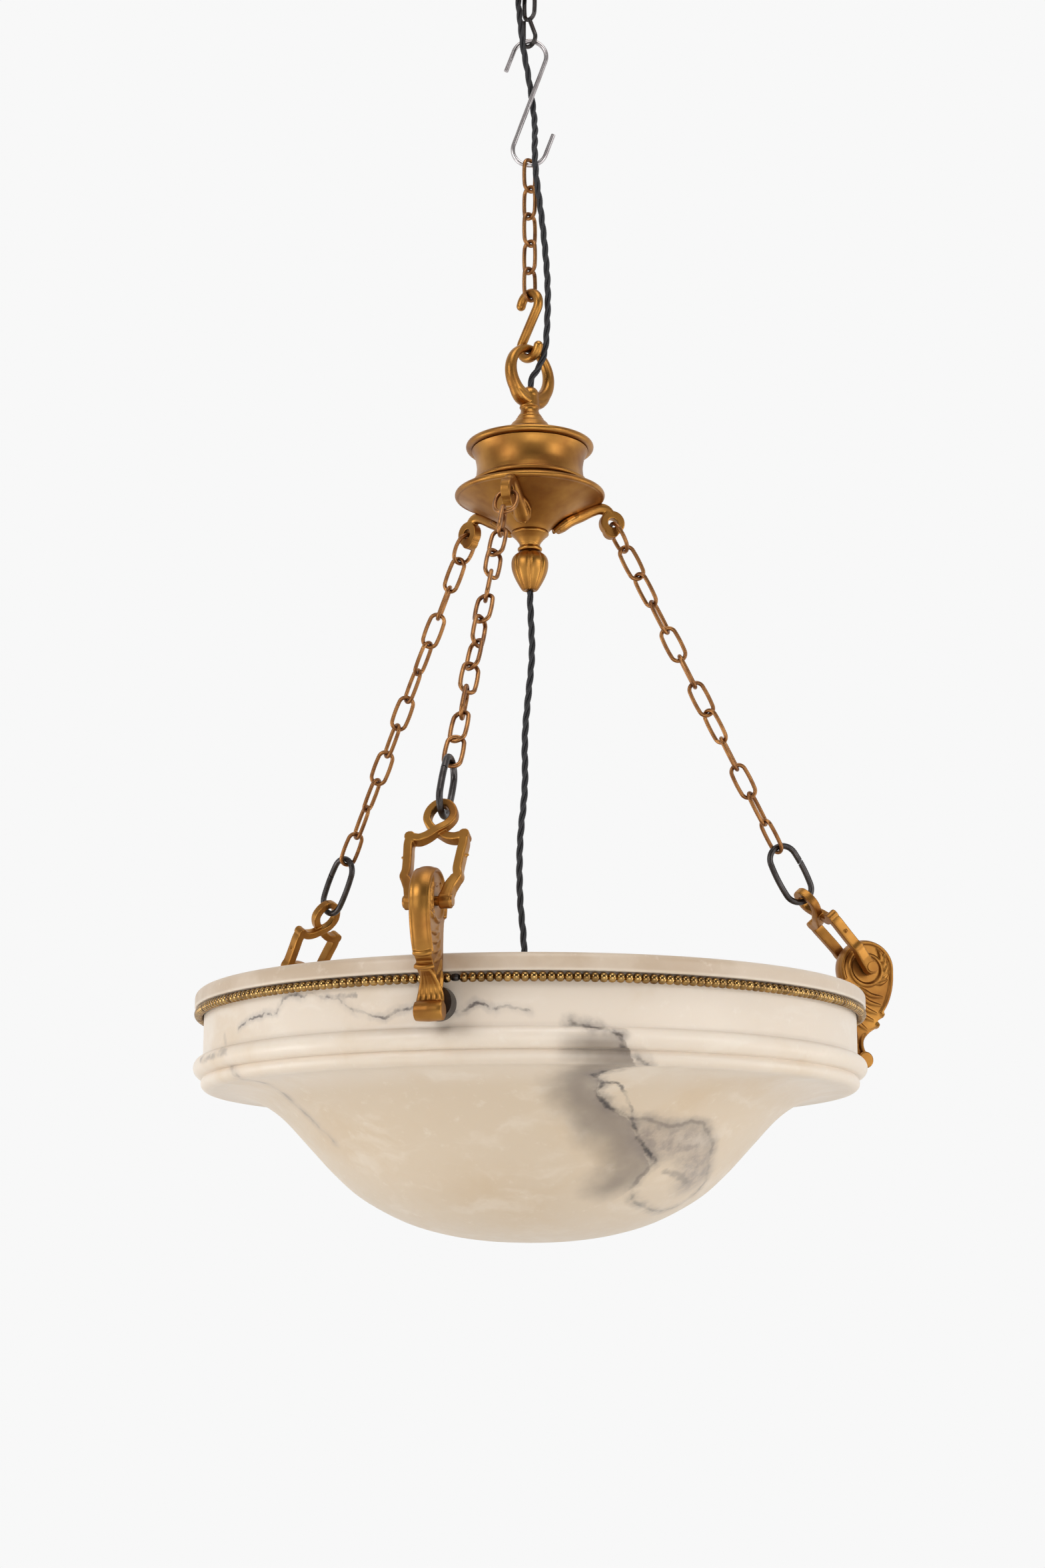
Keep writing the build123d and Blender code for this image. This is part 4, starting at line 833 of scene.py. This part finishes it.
# %% [markdown]
# ## Brackets
# Each bracket is a carved scroll that holds the bowl: a round volute at the pin, a strap over its back, two
# leaf lips, an acanthus leaf and a rolled foot, with a border, a spiral and a spray of leaves on its cheeks.
# Sculpting could make it once, but not by sizes. Here a slab and bars are fused by a voxel remesh and
# smoothed, as if cast. It is built in x out from the wall, y aside and z up from the bolt.

# %% Castings
VOXEL = 0.38              # of the remesh, in millimetres


def slab(outline, low, high):
    """Extrude an outline in x and z from one y to another. Millimetres."""
    return sweep([[(x, y, z) for x, z in outline] for y in (low, high)])


def casting(name, shapes, material, smoothing):
    """Fuse closed shapes in millimetres into one smooth casting."""
    rough = linked(name + "_rough", outward(name, *joined(shapes)))
    fuse = rough.modifiers.new("fuse", "REMESH")
    fuse.mode = "VOXEL"
    fuse.voxel_size = VOXEL * MM
    soften = rough.modifiers.new("soften", "SMOOTH")
    soften.iterations = smoothing
    fused = plain_mesh(rough)
    bpy.data.objects.remove(rough)
    return finished(fused, material)


def placed(name, data, place):
    """A new object whose mesh is a copy of the data, moved by a matrix, so the object stays at the origin."""
    copy = data.copy()
    copy.transform(place)
    return linked(name, copy)


def about_axis(angle):
    """A turn about the axis, in degrees."""
    return Matrix.Rotation(math.radians(angle), 4, "Z")


print("castings are fused at", VOXEL, "mm")

# %% Scroll of a bracket
BRACKET_BACK = WALL + 11.0    # from the axis
PIN_OUT, PIN_UP, VOLUTE = 15.0, 58.5, 20.0    # the pin from the bolt, and the scroll's radius about it
BOLT_BELOW = 15.5         # under the bead line
CHEEK = 5.2               # half the thickness between the cheeks


def scroll(radius, start, end, steps):
    """Points of an arc about the pin, in x and z."""
    return arc((PIN_OUT, PIN_UP), radius, start, end, steps)


def cheek_line(points, y, steps=8):
    """A smooth line on a cheek."""
    return [(p[0], y, p[1]) for p in through(points, steps)]


front = scroll(VOLUTE, 214, 0, 44)
front += through([(35, 58.5), (34.7, 50), (33.3, 42), (30.6, 34.4), (26.8, 28.0)], 8)[1:]
lips = [(27.8, 26.2), (25.2, 23.6), (22.2, 21.6), (23.4, 18.8), (21.6, 17.6)]
leaf = through([(21.6, 17.6), (15.6, 14.6), (10.6, 10.0), (8.7, 5.0), (8.7, 0.8), (10.4, -1.6)], 8)[1:]
back = [(4.0, -11.5), (1.0, -9.6), (0, -7), (0, 10), (0, 23.5), (-0.4, 35.5), (-0.8, 42)]
shapes = [slab([*front, *lips, *leaf, (8, -9), *back], -CHEEK, CHEEK)]
print("scroll", len(front) + len(lips) + len(leaf), "points in front")

# %% Carving of a bracket
strap = [(p[0], 0, p[1]) for p in scroll(VOLUTE - 1.5, 200, 0, 40)]
strap += cheek_line([(33.5, 58.5), (33.2, 50.0), (31.8, 42.0), (29.0, 34.2), (25.0, 27.4)], 0)[1:]
shapes.append(rod(strap, [(5.4, 2.3), (5.6, 2.5), (5.4, 2.4), (5.2, 2.2)], sides=24))
for side in (-1, 1):
    border = [(p[0], side * 5.4, p[1]) for p in scroll(VOLUTE - 1.5, 205, 0, 40)]
    border += cheek_line([(33.5, 58.5), (33.1, 50.0), (31.6, 42.0), (28.6, 34.0), (24.6, 27.0)],
                         side * 5.4)[1:]
    shapes.append(rod(border, (1.2, 1.3)))
    spiral = [(PIN_OUT + r * math.cos(t), side * 5.3, PIN_UP + r * math.sin(t))
              for t, r in zip(np.radians(np.linspace(120, 455, 60)), np.linspace(13.6, 9.6, 60))]
    shapes.append(rod(spiral, [(0.8, 0.8), (1.3, 1.5), (1.3, 1.4), (0.9, 1.0)]))
    for turned, out in ((52, 15.6), (30, 16.2), (8, 16.0), (-14, 15.8), (-36, 16.0)):
        root, bend, tip = (scroll(radius, turned + more, turned + more, 1)[0]
                           for radius, more in ((12.2, -26), (14.6, -6), (out + 0.8, 10)))
        petal = cheek_line([root, bend, tip], side * 5.2, 6)
        shapes.append(rod(petal, [(0.9, 0.7), (1.7, 1.7), (1.5, 1.2), (0.5, 0.5)]))
    for low, mid, high in (((9.5, 44.5), (17, 39.5), (26.2, 38.5)), ((8.5, 40), (15.5, 34.5), (24.8, 32.4)),
                           ((6.5, 36), (13.5, 29.5), (21.6, 26.6)), ((5, 30), (11.6, 24.4), (19.0, 21.4)),
                           ((4, 24.4), (8.4, 18.4), (13.6, 15.0)), ((3, 18), (4.6, 10.6), (6.4, 2.2))):
        vein = cheek_line([low, mid, high], side * 5.0, 7)
        shapes.append(rod(vein, [(0.9, 0.9), (1.8, 1.8), (1.6, 1.5), (0.6, 0.6)]))
print("scroll and carving in", len(shapes), "shapes")

# %% Leaf and foot of a bracket
for x, z, half, thick in ((26.0, 26.6, 5.7, 1.6), (22.0, 19.0, 6.0, 1.6)):
    bowed = [(x + 0.9 * (1 - (y / half) ** 2), y, z - 1.1 * (1 - (y / half) ** 2))
             for y in np.linspace(-half, half, 13)]
    shapes.append(rod(bowed, (thick, thick * 0.8), (0, 0, 1)))
for k in (-2, -1, 0, 1, 2):
    flute = through([(20.8, 1.1 * k, 17.0), (14.8, 1.7 * k, 13.6), (9.9, 2.5 * k, 8.6), (8.6, 3.1 * k, 3.4),
                     (9.8, 3.5 * k, -1.0)], 6)
    shapes.append(rod(flute, [(0.9, 0.9), (1.4, 1.3), (1.8, 1.5), (2.0, 1.6), (1.8, 1.4)]))
foot = [(10.8, y, -6.5) for y in (-8.9, -8.4, -6, 0, 6, 8.4, 8.9)]
shapes.append(rod(foot, [(4.9, 4.9), (5.8, 5.8), (6.1, 6.1), (6.4, 6.4), (6.1, 6.1), (5.8, 5.8), (4.9, 4.9)],
                  (1, 0, 0), 28))
shapes.append(rod([(3, 0, -6), (7, 0, -7.5), (11, 0, -8)], [(5.2, 5.0), (6.4, 4.4), (7.6, 4.2)]))
print("whole bracket in", len(shapes), "shapes")

# %% Brackets
bracket_mesh = casting("bracket", shapes, GILT, 3)
bolt_height = bead_line - BOLT_BELOW * MM
for name, angle in STATIONS.items():
    out = Matrix.Translation((BRACKET_BACK * MM, 0, bolt_height))
    bracket = placed(f"scroll_bracket_{name}", bracket_mesh, about_axis(angle) @ out)
    stands_for(bracket, f"bracket_{name}", "bowl")
print("bracket", len(bracket_mesh.polygons), "faces")

# %% [markdown]
# ## Shackles
# A shackle joins a bracket's pin to its chain. It is one flat strap bent into an eye: up from one leg, round
# an ear, across in front of itself, round the eye and down the other side. A bevelled curve would make the
# strap but not its ears and bosses, so it is fused like the bracket. It is drawn in its own plane, x aside
# and z along from the pin, and leans back towards the axis.

# %% Form of a shackle
STRAP, STRAP_DEEP = 2.9, 3.8      # half width in the plane, half depth
leg = [(-10.8, 0.0, 1.5), (-11.4, 0.0, 7.0), (-13.4, 0.0, 12.0), (-16.6, 0.0, 16.8), (-15.9, 0.0, 22.0),
       (-16.6, 0.0, 33.0), (-17.3, 0.0, 41.5), (-16.0, 0.0, 45.4)]
bar = [(-11.0, -0.2, 45.0), (-6.0, -0.9, 46.6), (-0.6, -1.5, 50.4), (4.9, -1.2, 54.2), (8.3, -0.6, 60.0),
       (7.5, -0.2, 66.0), (4.1, 0.0, 70.4)]
whole = through(leg + bar + [(0.0, 0.0, 71.7)], 7)
mirrored = [(-x, -y, z) for x, y, z in whole[::-1]][1:]
strap = [tuple(p) for p in whole] + mirrored
sizes = [(STRAP_DEEP + 0.4, STRAP), (STRAP_DEEP, STRAP), (STRAP_DEEP, STRAP), (2.9, 2.5), (2.8, 2.5)]
shapes = [rod(strap, sizes + sizes[-2::-1], sides=24, square=0.25)]
for side in (-1, 1):
    ear = [(side * 17.1, y, 46.4) for y in (-STRAP_DEEP, STRAP_DEEP)]
    shapes.append(rod(ear, (3.3, 3.3), (1, 0, 0), 20))
    ankle = [(side * x, 0, z) for x, z in ((15.6, 15.4), (12.6, 9.0), (11.0, 2.0), (10.9, -3.0))]
    shapes.append(rod(ankle, [(3.9, 3.2), (4.3, 3.5), (4.7, 3.6), (4.2, 3.5)], square=0.3))
    shapes.append(rod([(side * 17.6, 0, 32.0), (side * 20.0, 0, 32.4), (side * 21.2, 0, 32.8)],
                      [(1.4, 1.4), (1.1, 1.1), (0.5, 0.5)]))
    shapes.append(rod([(side * 15.4, 0, 20.6), (side * 17.4, 0, 17.2), (side * 14.6, 0, 13.4)],
                      [(3.4, 1.2), (3.5, 1.9), (3.4, 1.4)], square=0.6))
    shapes.append(rod([(side * x, 0, 0) for x in (7.2, 7.5, 14.2, 14.6)],
                      [(4.4, 4.4), (4.9, 4.9), (4.9, 4.9), (4.4, 4.4)], (0, 1, 0), 28))
print("shackle in", len(shapes), "shapes")

# %% Shackles
SHACKLE_LEAN = {"front": 25.0, "right": 42.0, "left": 34.0}    # degrees
shackle_mesh = casting("shackle", shapes, GILT, 1)
pin_height = bolt_height + PIN_UP * MM
for name, angle in STATIONS.items():
    lean = math.radians(SHACKLE_LEAN[name])
    stand = Matrix(((0, -math.cos(lean), -math.sin(lean), 0), (1, 0, 0, 0),
                    (0, -math.sin(lean), math.cos(lean), 0), (0, 0, 0, 1)))
    at = about_axis(angle) @ Matrix.Translation(((BRACKET_BACK + PIN_OUT) * MM, 0, pin_height)) @ stand
    shackle = placed(f"strap_shackle_{name}", shackle_mesh, at)
    stands_for(shackle, f"shackle_{name}", f"{name}_shackle")
print("shackle", len(shackle_mesh.polygons), "faces")

# %% [markdown]
# ## Gallery
# The gallery spreads the three chains. It is spun and turned: a stepped cap with a rolled rim, a waisted drum
# on a small bead, a flange that sweeps down to a cone, a collar and a lobed bud. A fuse would soften its
# steps, so each piece is an outline turned about the axis, drawn down from its top.

# %% Gallery
GROOVES, GROOVE_DEEP, GROOVE_WIDE = 8, 0.10, 0.085    # of the bud: share of its radius, radians
BUD_NECK = 4.5            # radius up to which the bud is plain


def turned(name, outline, sides=160, ripple=None):
    """A turned bronze piece that stands for a CAD node. Its outline is measured from the node's top."""
    made = lathe(f"turned_{name}", outline, GILT, span(name)[1], sides, ripple)
    stands_for(made, name, "gallery")
    return len(made.data.polygons)


def lobes(angle, radius):
    """Grooves down the bud, even about the camera's side."""
    apart = 2 * math.pi / GROOVES
    off = (angle - turn + apart / 2) % apart - apart / 2
    return 1 - GROOVE_DEEP * math.exp(-(off / GROOVE_WIDE) ** 2) if radius > BUD_NECK else 1.0


cap = [(4.7, 0), (8.6, 0)] + through([(8.6, 0), (9.6, -0.4), (10.7, -2.4), (11.3, -3.4)], 5)[1:]
cap += through([(11.9, -3.7), (12.8, -4.2), (14.4, -6.8), (15.2, -8.4), (15.2, -9.0)], 5)
cap += through([(16.2, -9.2), (19.5, -10.4), (28, -13.5), (37, -17.2), (43, -19.4)], 8)
cap += arc((43.05, -21.95), 2.55, 85, -95, 18)
cap += [(40.5, -24.4), (39.4, -23.6), (35.5, -20.4), (15.2, -11.2), (4.7, -11.2)]
drum = [(39.3, 0), (41.2, 0)]
drum += through([(41.5, -0.4), (40.3, -2.6), (38.7, -7), (37.8, -13), (38.1, -18), (38.8, -21.6)], 8)
drum += [(38.9, -22.4)] + arc((39.0, -24.6), 2.0, 85, -85, 14)
drum += [(37.4, -27), (36.0, -26), (35.8, -13), (38.2, -3)]
cone = [(38.0, 0), (39.5, 0), (41.0, -0.2), (46, -2.6)] + arc((51.2, -6.7), 2.2, 105, -100, 18)
cone += through([(50.2, -9.1), (46.5, -11.0), (41.4, -13.5), (33, -18.2), (23, -24.5), (16.5, -29.8),
                 (13, -33.5)], 8)
cone += [(4.7, -33.5), (4.7, -31)] + through([(10.5, -31), (20.5, -22), (38.9, -11.2), (38.2, -5)], 8)
collar = [(4.7, 0), (12.6, 0)] + arc((12.2, -1.3), 1.3, 80, -70, 8)
collar += through([(12.2, -2.9), (9.9, -5.2), (8.1, -7.6), (7.2, -9.0)], 6)
collar += [(7.4, -9.5), (6.5, -9.9), (6.5, -11.0)]
collar += arc((7.0, -12.7), 1.7, 95, -95, 12) + [(6.2, -14.7), (6.2, -15), (4.7, -15)]
bud = [(2.7, 0), (5.6, 0)]
bud += through([(6.4, -0.2), (9.6, -1.3), (12.2, -4.0), (13.3, -8.2), (12.7, -13), (10.9, -18), (8.6, -22.6),
                (6.6, -26), (5.4, -27.6), (4.7, -28)], 6) + [(2.7, -28)]
faces = [turned("gallery_cap", cap), turned("gallery_drum", drum), turned("gallery_cone", cone),
         turned("gallery_collar", collar, 96), turned("finial", bud, 192, lobes)]
print("gallery faces", faces)

# %% [markdown]
# ## Ring and arms
# The ring hangs the gallery on its hook: a bar that thickens towards the bottom, where it meets a ball on a
# flared neck. Each arm is a smooth S that swells out of a leaf on the cone and ends in a flat eye with a drop
# under it. Their parts flow into one another, so they are fused too.

# %% Ring
RING_TURN = math.radians(45)    # from the camera's side


def round_bar(heights, radii):
    """An upright round shape on the axis, by its heights and radii in millimetres."""
    return rod([(0, 0, z) for z in heights], [(r, r) for r in radii], (1, 0, 0), 24)


loop = []
for t in np.linspace(0, 2 * math.pi, 72, endpoint=False):
    way = np.array((math.sin(t), 0, math.cos(t)))
    outer, inner = np.array((0, 0, -23.0)) + 23.0 * way, np.array((0, 0, -20.8)) + 15.1 * way
    loop.append(((outer + inner) / 2, (4.2 - 0.8 * math.cos(t), np.linalg.norm(outer - inner) / 2)))
shapes = [rod([p for p, s in loop], [s for p, s in loop], sides=24, closed=True, square=0.9)]
around = np.radians(np.linspace(4, 176, 18))
shapes.append(round_bar([-38.0 + 6.5 * math.cos(t) for t in around], [6.5 * math.sin(t) for t in around]))
for side in (-1, 1):
    bend = ((16.6, -34.6), (13.0, -39.2), (8.4, -42.8), (0, -44.6))
    cheek = through([(side * x, 0, z) for x, z in bend], 6)
    shapes.append(rod(cheek, [(3.9, 3.0), (4.8, 3.7), (5.4, 3.7), (5.8, 3.4)]))
shapes.append(round_bar([-40, -46.4, -47.4, -48.4, -50, -52, -53.6, -55.2, -55.5],
                        [6.4, 6.8, 7.6, 6.6, 6.4, 7.0, 8.2, 9.2, 9.0]))
loop_mesh = casting("ring", shapes, GILT, 2)
at = Matrix.Translation((0, 0, span("hanging_loop")[1])) @ Matrix.Rotation(turn + RING_TURN, 4, "Z")
ring = placed("cast_ring", loop_mesh, at)
stands_for(ring, "hanging_loop", "gallery")
print("ring", len(loop_mesh.polygons), "faces")

# %% Arms
EYE_HALF = 3.3            # half the thickness of an arm's eye


def pierced(outer, inner, low, high):
    """A plate in x and z with a hole, from one y to another: both outlines have as many points."""
    rings = [[(a[0], low, a[1]), (a[0], high, a[1]), (b[0], high, b[1]), (b[0], low, b[1])]
             for a, b in zip(outer, inner)]
    return sweep(rings, closed=True)


spine = through([(20.5, 0, -8.6), (24, 0, -5.6), (30, 0, -0.2), (38, 0, 4.0), (46, 0, 8.4), (52, 0, 10.4),
                 (57, 0, 9.4), (60.5, 0, 5.2)], 6)
sizes = [(4.6, 2.6), (5.4, 3.8), (5.0, 4.5), (4.3, 4.5), (3.9, 4.3), (3.7, 4.1), (3.5, 3.9), (3.3, 4.0)]
shapes = [rod(spine, sizes, sides=20, square=0.85)]
eye = arc((61, 0), 8.9, 0, 360, 49)[:-1]
hole = arc((61, 0), 3.4, 0, 360, 49)[:-1]
shapes.append(pierced(eye, hole, -EYE_HALF, EYE_HALF))
drop = arc((60.4, -5.6), 5.6, 175, 365, 20)
shapes.append(slab([*drop, (65.4, -4.6), (61, -4.2), (55.6, -4.6)], -EYE_HALF, EYE_HALF))
leaf = through([(17.2, 0, -8.8), (20.8, 0, -5.6), (25.2, 0, -2.0), (30.6, 0, 1.6), (36.4, 0, 5.0),
                (39.2, 0, 6.6)], 6)
halves = tapered([(2.4, 1.4), (6.2, 1.9), (7.6, 2.0), (6.6, 1.9), (3.4, 1.5), (1.0, 0.8)], len(leaf))
shapes.append(rod(leaf, halves, sides=24))
for side in (-1, 1):
    edge = [p + np.array((0.7, side * (h[0] - 0.9), -1.0)) for p, h in zip(leaf, halves)]
    shapes.append(rod(edge, (1.0, 1.2), sides=12))
arm_mesh = casting("arm", shapes, GILT, 3)
for name, angle in STATIONS.items():
    at = Matrix.Translation((0, 0, pivot(f"{name}_chain_swing"))) @ about_axis(angle)
    arm = placed(f"cast_arm_{name}", arm_mesh, at)
    stands_for(arm, f"arm_{name}", "gallery")
print("arm", len(arm_mesh.polygons), "faces")

# %% [markdown]
# ## Beads
# The band under the rim is a string of barrel beads with rolled ends. An array could repeat a bead, but a
# Geometry Nodes tree also turns each along the circle, leaves out the one where a small dark clasp closes the
# string, and has its count and radius as inputs. Its result is kept as a plain mesh.

# %% One bead
BEAD_COUNT = 268
BEAD_CIRCLE = 224.45      # radius of the string
CLASP = 2                 # beads to the right of the front bracket
barrel = [(0.4, -2.62), (1.5, -2.62), (1.6, -2.35), (2.25, -2.1), (2.8, -1.5), (3.13, -0.55), (3.13, 0.55),
          (2.8, 1.5), (2.25, 2.1), (1.6, 2.35), (1.5, 2.62), (0.4, 2.62)]
clasp_shape = [(0.5, -2.4), (1.5, -2.4), (2.1, -1.8), (2.3, 0), (2.1, 1.8), (1.5, 2.4), (0.5, 2.4)]
lying = Matrix.Rotation(math.radians(-90), 4, "X")
bead = lathe("bead", barrel, BEAD, 0.0, 16)
bead.data.transform(lying)
print("bead", len(bead.data.polygons), "faces")

# %% Ring of beads
beads_tree = bpy.data.node_groups.new("ring of beads", "GeometryNodeTree")
settings = (("Bead", "Object", bead), ("Count", "Int", BEAD_COUNT), ("Radius", "Float", BEAD_CIRCLE * MM),
            ("Height", "Float", bead_line), ("Clasp", "Int", CLASP))
for label, kind, value in settings:
    socket = beads_tree.interface.new_socket(label, in_out="INPUT", socket_type="NodeSocket" + kind)
    socket.default_value = value
beads_tree.interface.new_socket("Geometry", in_out="OUTPUT", socket_type="NodeSocketGeometry")
given = add(beads_tree, "NodeGroupInput").outputs
circle = add(beads_tree, "GeometryNodeMeshCircle", {"Vertices": given["Count"], "Radius": given["Radius"]})
start = add(beads_tree, "ShaderNodeCombineXYZ", {"Z": given["Height"]})
raised = add(beads_tree, "GeometryNodeTransform", {
    "Geometry": circle.outputs["Mesh"], "Translation": start.outputs[0],
    "Rotation": (0, 0, math.radians(-90))})
number = add(beads_tree, "GeometryNodeInputIndex").outputs[0]
kept = add(beads_tree, "FunctionNodeCompare", {2: number, 3: given["Clasp"]}, data_type="INT",
           operation="NOT_EQUAL")
spot = add(beads_tree, "ShaderNodeSeparateXYZ", {0: add(beads_tree, "GeometryNodeInputPosition").outputs[0]})
about = maths(beads_tree, "ARCTAN2", spot.outputs["Y"], spot.outputs["X"])
spun = add(beads_tree, "ShaderNodeCombineXYZ", {"Z": about})
shape = add(beads_tree, "GeometryNodeObjectInfo", {"Object": given["Bead"]})
strung = add(beads_tree, "GeometryNodeInstanceOnPoints", {
    "Points": raised.outputs[0], "Selection": kept.outputs[0], "Instance": shape.outputs["Geometry"],
    "Rotation": spun.outputs[0]})
solid = add(beads_tree, "GeometryNodeRealizeInstances", {"Geometry": strung.outputs[0]})
coated_beads = add(beads_tree, "GeometryNodeSetMaterial", {"Geometry": solid.outputs[0], "Material": BEAD})
add(beads_tree, "NodeGroupOutput", {"Geometry": coated_beads.outputs[0]})
print("bead tree", len(beads_tree.nodes), "nodes")

# %% Bead band
holder = linked("bead_string", bpy.data.meshes.new("bead_string"))
holder.modifiers.new("beads", "NODES").node_group = beads_tree
string = plain_mesh(holder)
string.polygons.foreach_set("use_smooth", [True] * len(string.polygons))
holder.modifiers.clear()
holder.data = string
bpy.data.objects.remove(bead)
clasp = lathe("bead_clasp", clasp_shape, IRON, 0.0, 20)
clasp_turn = 2 * math.pi * CLASP / BEAD_COUNT - math.pi / 2
clasp.data.transform(Matrix.Translation((0, 0, bead_line)) @ Matrix.Rotation(clasp_turn, 4, "Z")
                     @ Matrix.Translation((BEAD_CIRCLE * MM, 0, 0)) @ lying)
for piece in (holder, clasp):
    stands_for(piece, "bead_band", "bowl", "bead_brass")
print("beads", BEAD_COUNT - 1, "with", len(string.polygons), "faces")

# %% [markdown]
# ## Room
# The photograph has a plain near-white ground and soft light from both sides in front. A bright wall would
# light the stone as well, so the ground shows only to the camera and in reflections, which fade to a darker
# room on the camera's side, and six soft lamps give the light.

# %% Floor
BACKDROP = "#F8F8F8"
FLOOR_BELOW, FLOOR_HALF = 0.45, 9.0     # metres: its place under the bowl and half its side


def seeing_rays(tree):
    """Masks of the rays that see the plain ground: the camera's own, and those by way of metal or glass."""
    paths = add(tree, "ShaderNodeLightPath").outputs
    bent = maths(tree, "MAXIMUM", paths["Is Glossy Ray"], paths["Is Transmission Ray"])
    return paths["Is Camera Ray"], bent


ground, tree, shader, place = blank("pale_floor")
seen = maths(tree, "MAXIMUM", *seeing_rays(tree))
glow = add(tree, "ShaderNodeEmission", {"Color": linear(BACKDROP)})
feed(tree, shader, {"Base Color": linear("#E6E2DC"), "Roughness": 0.8})
both = add(tree, "ShaderNodeMixShader", {0: seen, 1: shader.outputs["BSDF"], 2: glow.outputs["Emission"]})
feed(tree, tree.nodes["Material Output"], {"Surface": both.outputs["Shader"]})
floor_height = cad_box[0][2] - FLOOR_BELOW
corners = [(x * FLOOR_HALF, y * FLOOR_HALF, floor_height) for x, y in ((-1, -1), (1, -1), (1, 1), (-1, 1))]
floor = mesh_object("floor", corners, [(0, 1, 2, 3)], ground, smooth=False)
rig.stage(floor)
print("floor at", round(floor_height, 3), "m")

# %% World
world = bpy.data.worlds.new("studio")
bpy.context.scene.world = world
world.use_nodes = True
tree = world.node_tree
tree.nodes.clear()
direct_ray, bent_ray = seeing_rays(tree)
direct = add(tree, "ShaderNodeBackground", {"Color": linear(BACKDROP), "Strength": 1.0})
way = add(tree, "ShaderNodeTexCoord").outputs["Generated"]
facing = vectors(tree, "DOT_PRODUCT", way, (math.sin(turn), -math.cos(turn), 0))
strength = ranged(tree, facing, -0.5, 0.6, 0.75, 0.14)
lighting = add(tree, "ShaderNodeBackground", {"Color": linear("#F2F0EE"), "Strength": strength})
shine = maths(tree, "MULTIPLY", bent_ray, ranged(tree, facing, 0.2, -0.4))
seen = maths(tree, "MAXIMUM", direct_ray, shine)
both = add(tree, "ShaderNodeMixShader", {0: seen, 1: lighting.outputs[0], 2: direct.outputs[0]})
add(tree, "ShaderNodeOutputWorld", {"Surface": both.outputs[0]})
print("world", len(tree.nodes), "nodes")

# %% Lamps
def soft_box(name, right, near, height, size, power, aim):
    """A square soft light, placed in metres as the camera sees it, aimed at a height on the axis."""
    light = bpy.data.lights.new(name, "AREA")
    light.size = size
    light.energy = power
    made = linked(name, light)
    made.location = viewed(right / MM, near / MM, height / MM)
    ahead = Vector((0, 0, aim)) - made.location
    made.rotation_euler = ahead.to_track_quat("-Z", "Y").to_euler()


middle = bead_line + 0.2
soft_box("soft_left", -1.5, 1.5, bead_line + 0.9, 1.0, 15.5, middle)
soft_box("soft_right", 1.6, 1.1, bead_line + 0.5, 0.9, 10, middle)
soft_box("soft_top", 0.1, 0.7, bead_line + 1.7, 1.0, 10, bead_line)
soft_box("soft_low", 0.2, 1.2, bead_line - 0.4, 0.8, 3.5, bead_line)
soft_box("soft_low_left", -1.5, 0.2, bead_line - 0.45, 0.9, 9, bead_line - 0.1)
soft_box("soft_low_right", 1.5, 0.1, bead_line - 0.45, 0.9, 6, bead_line - 0.1)
print("lamps", len(bpy.data.lights))

# %% [markdown] ## The end The CAD box and the finished model's box are written side by side, so that a slip
# in size shows.

# %% Finish
with open("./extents.json", "w") as sizes:
    json.dump({"cad": [list(c) for c in cad_box], "visual": [list(c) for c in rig.bounds()]}, sizes)
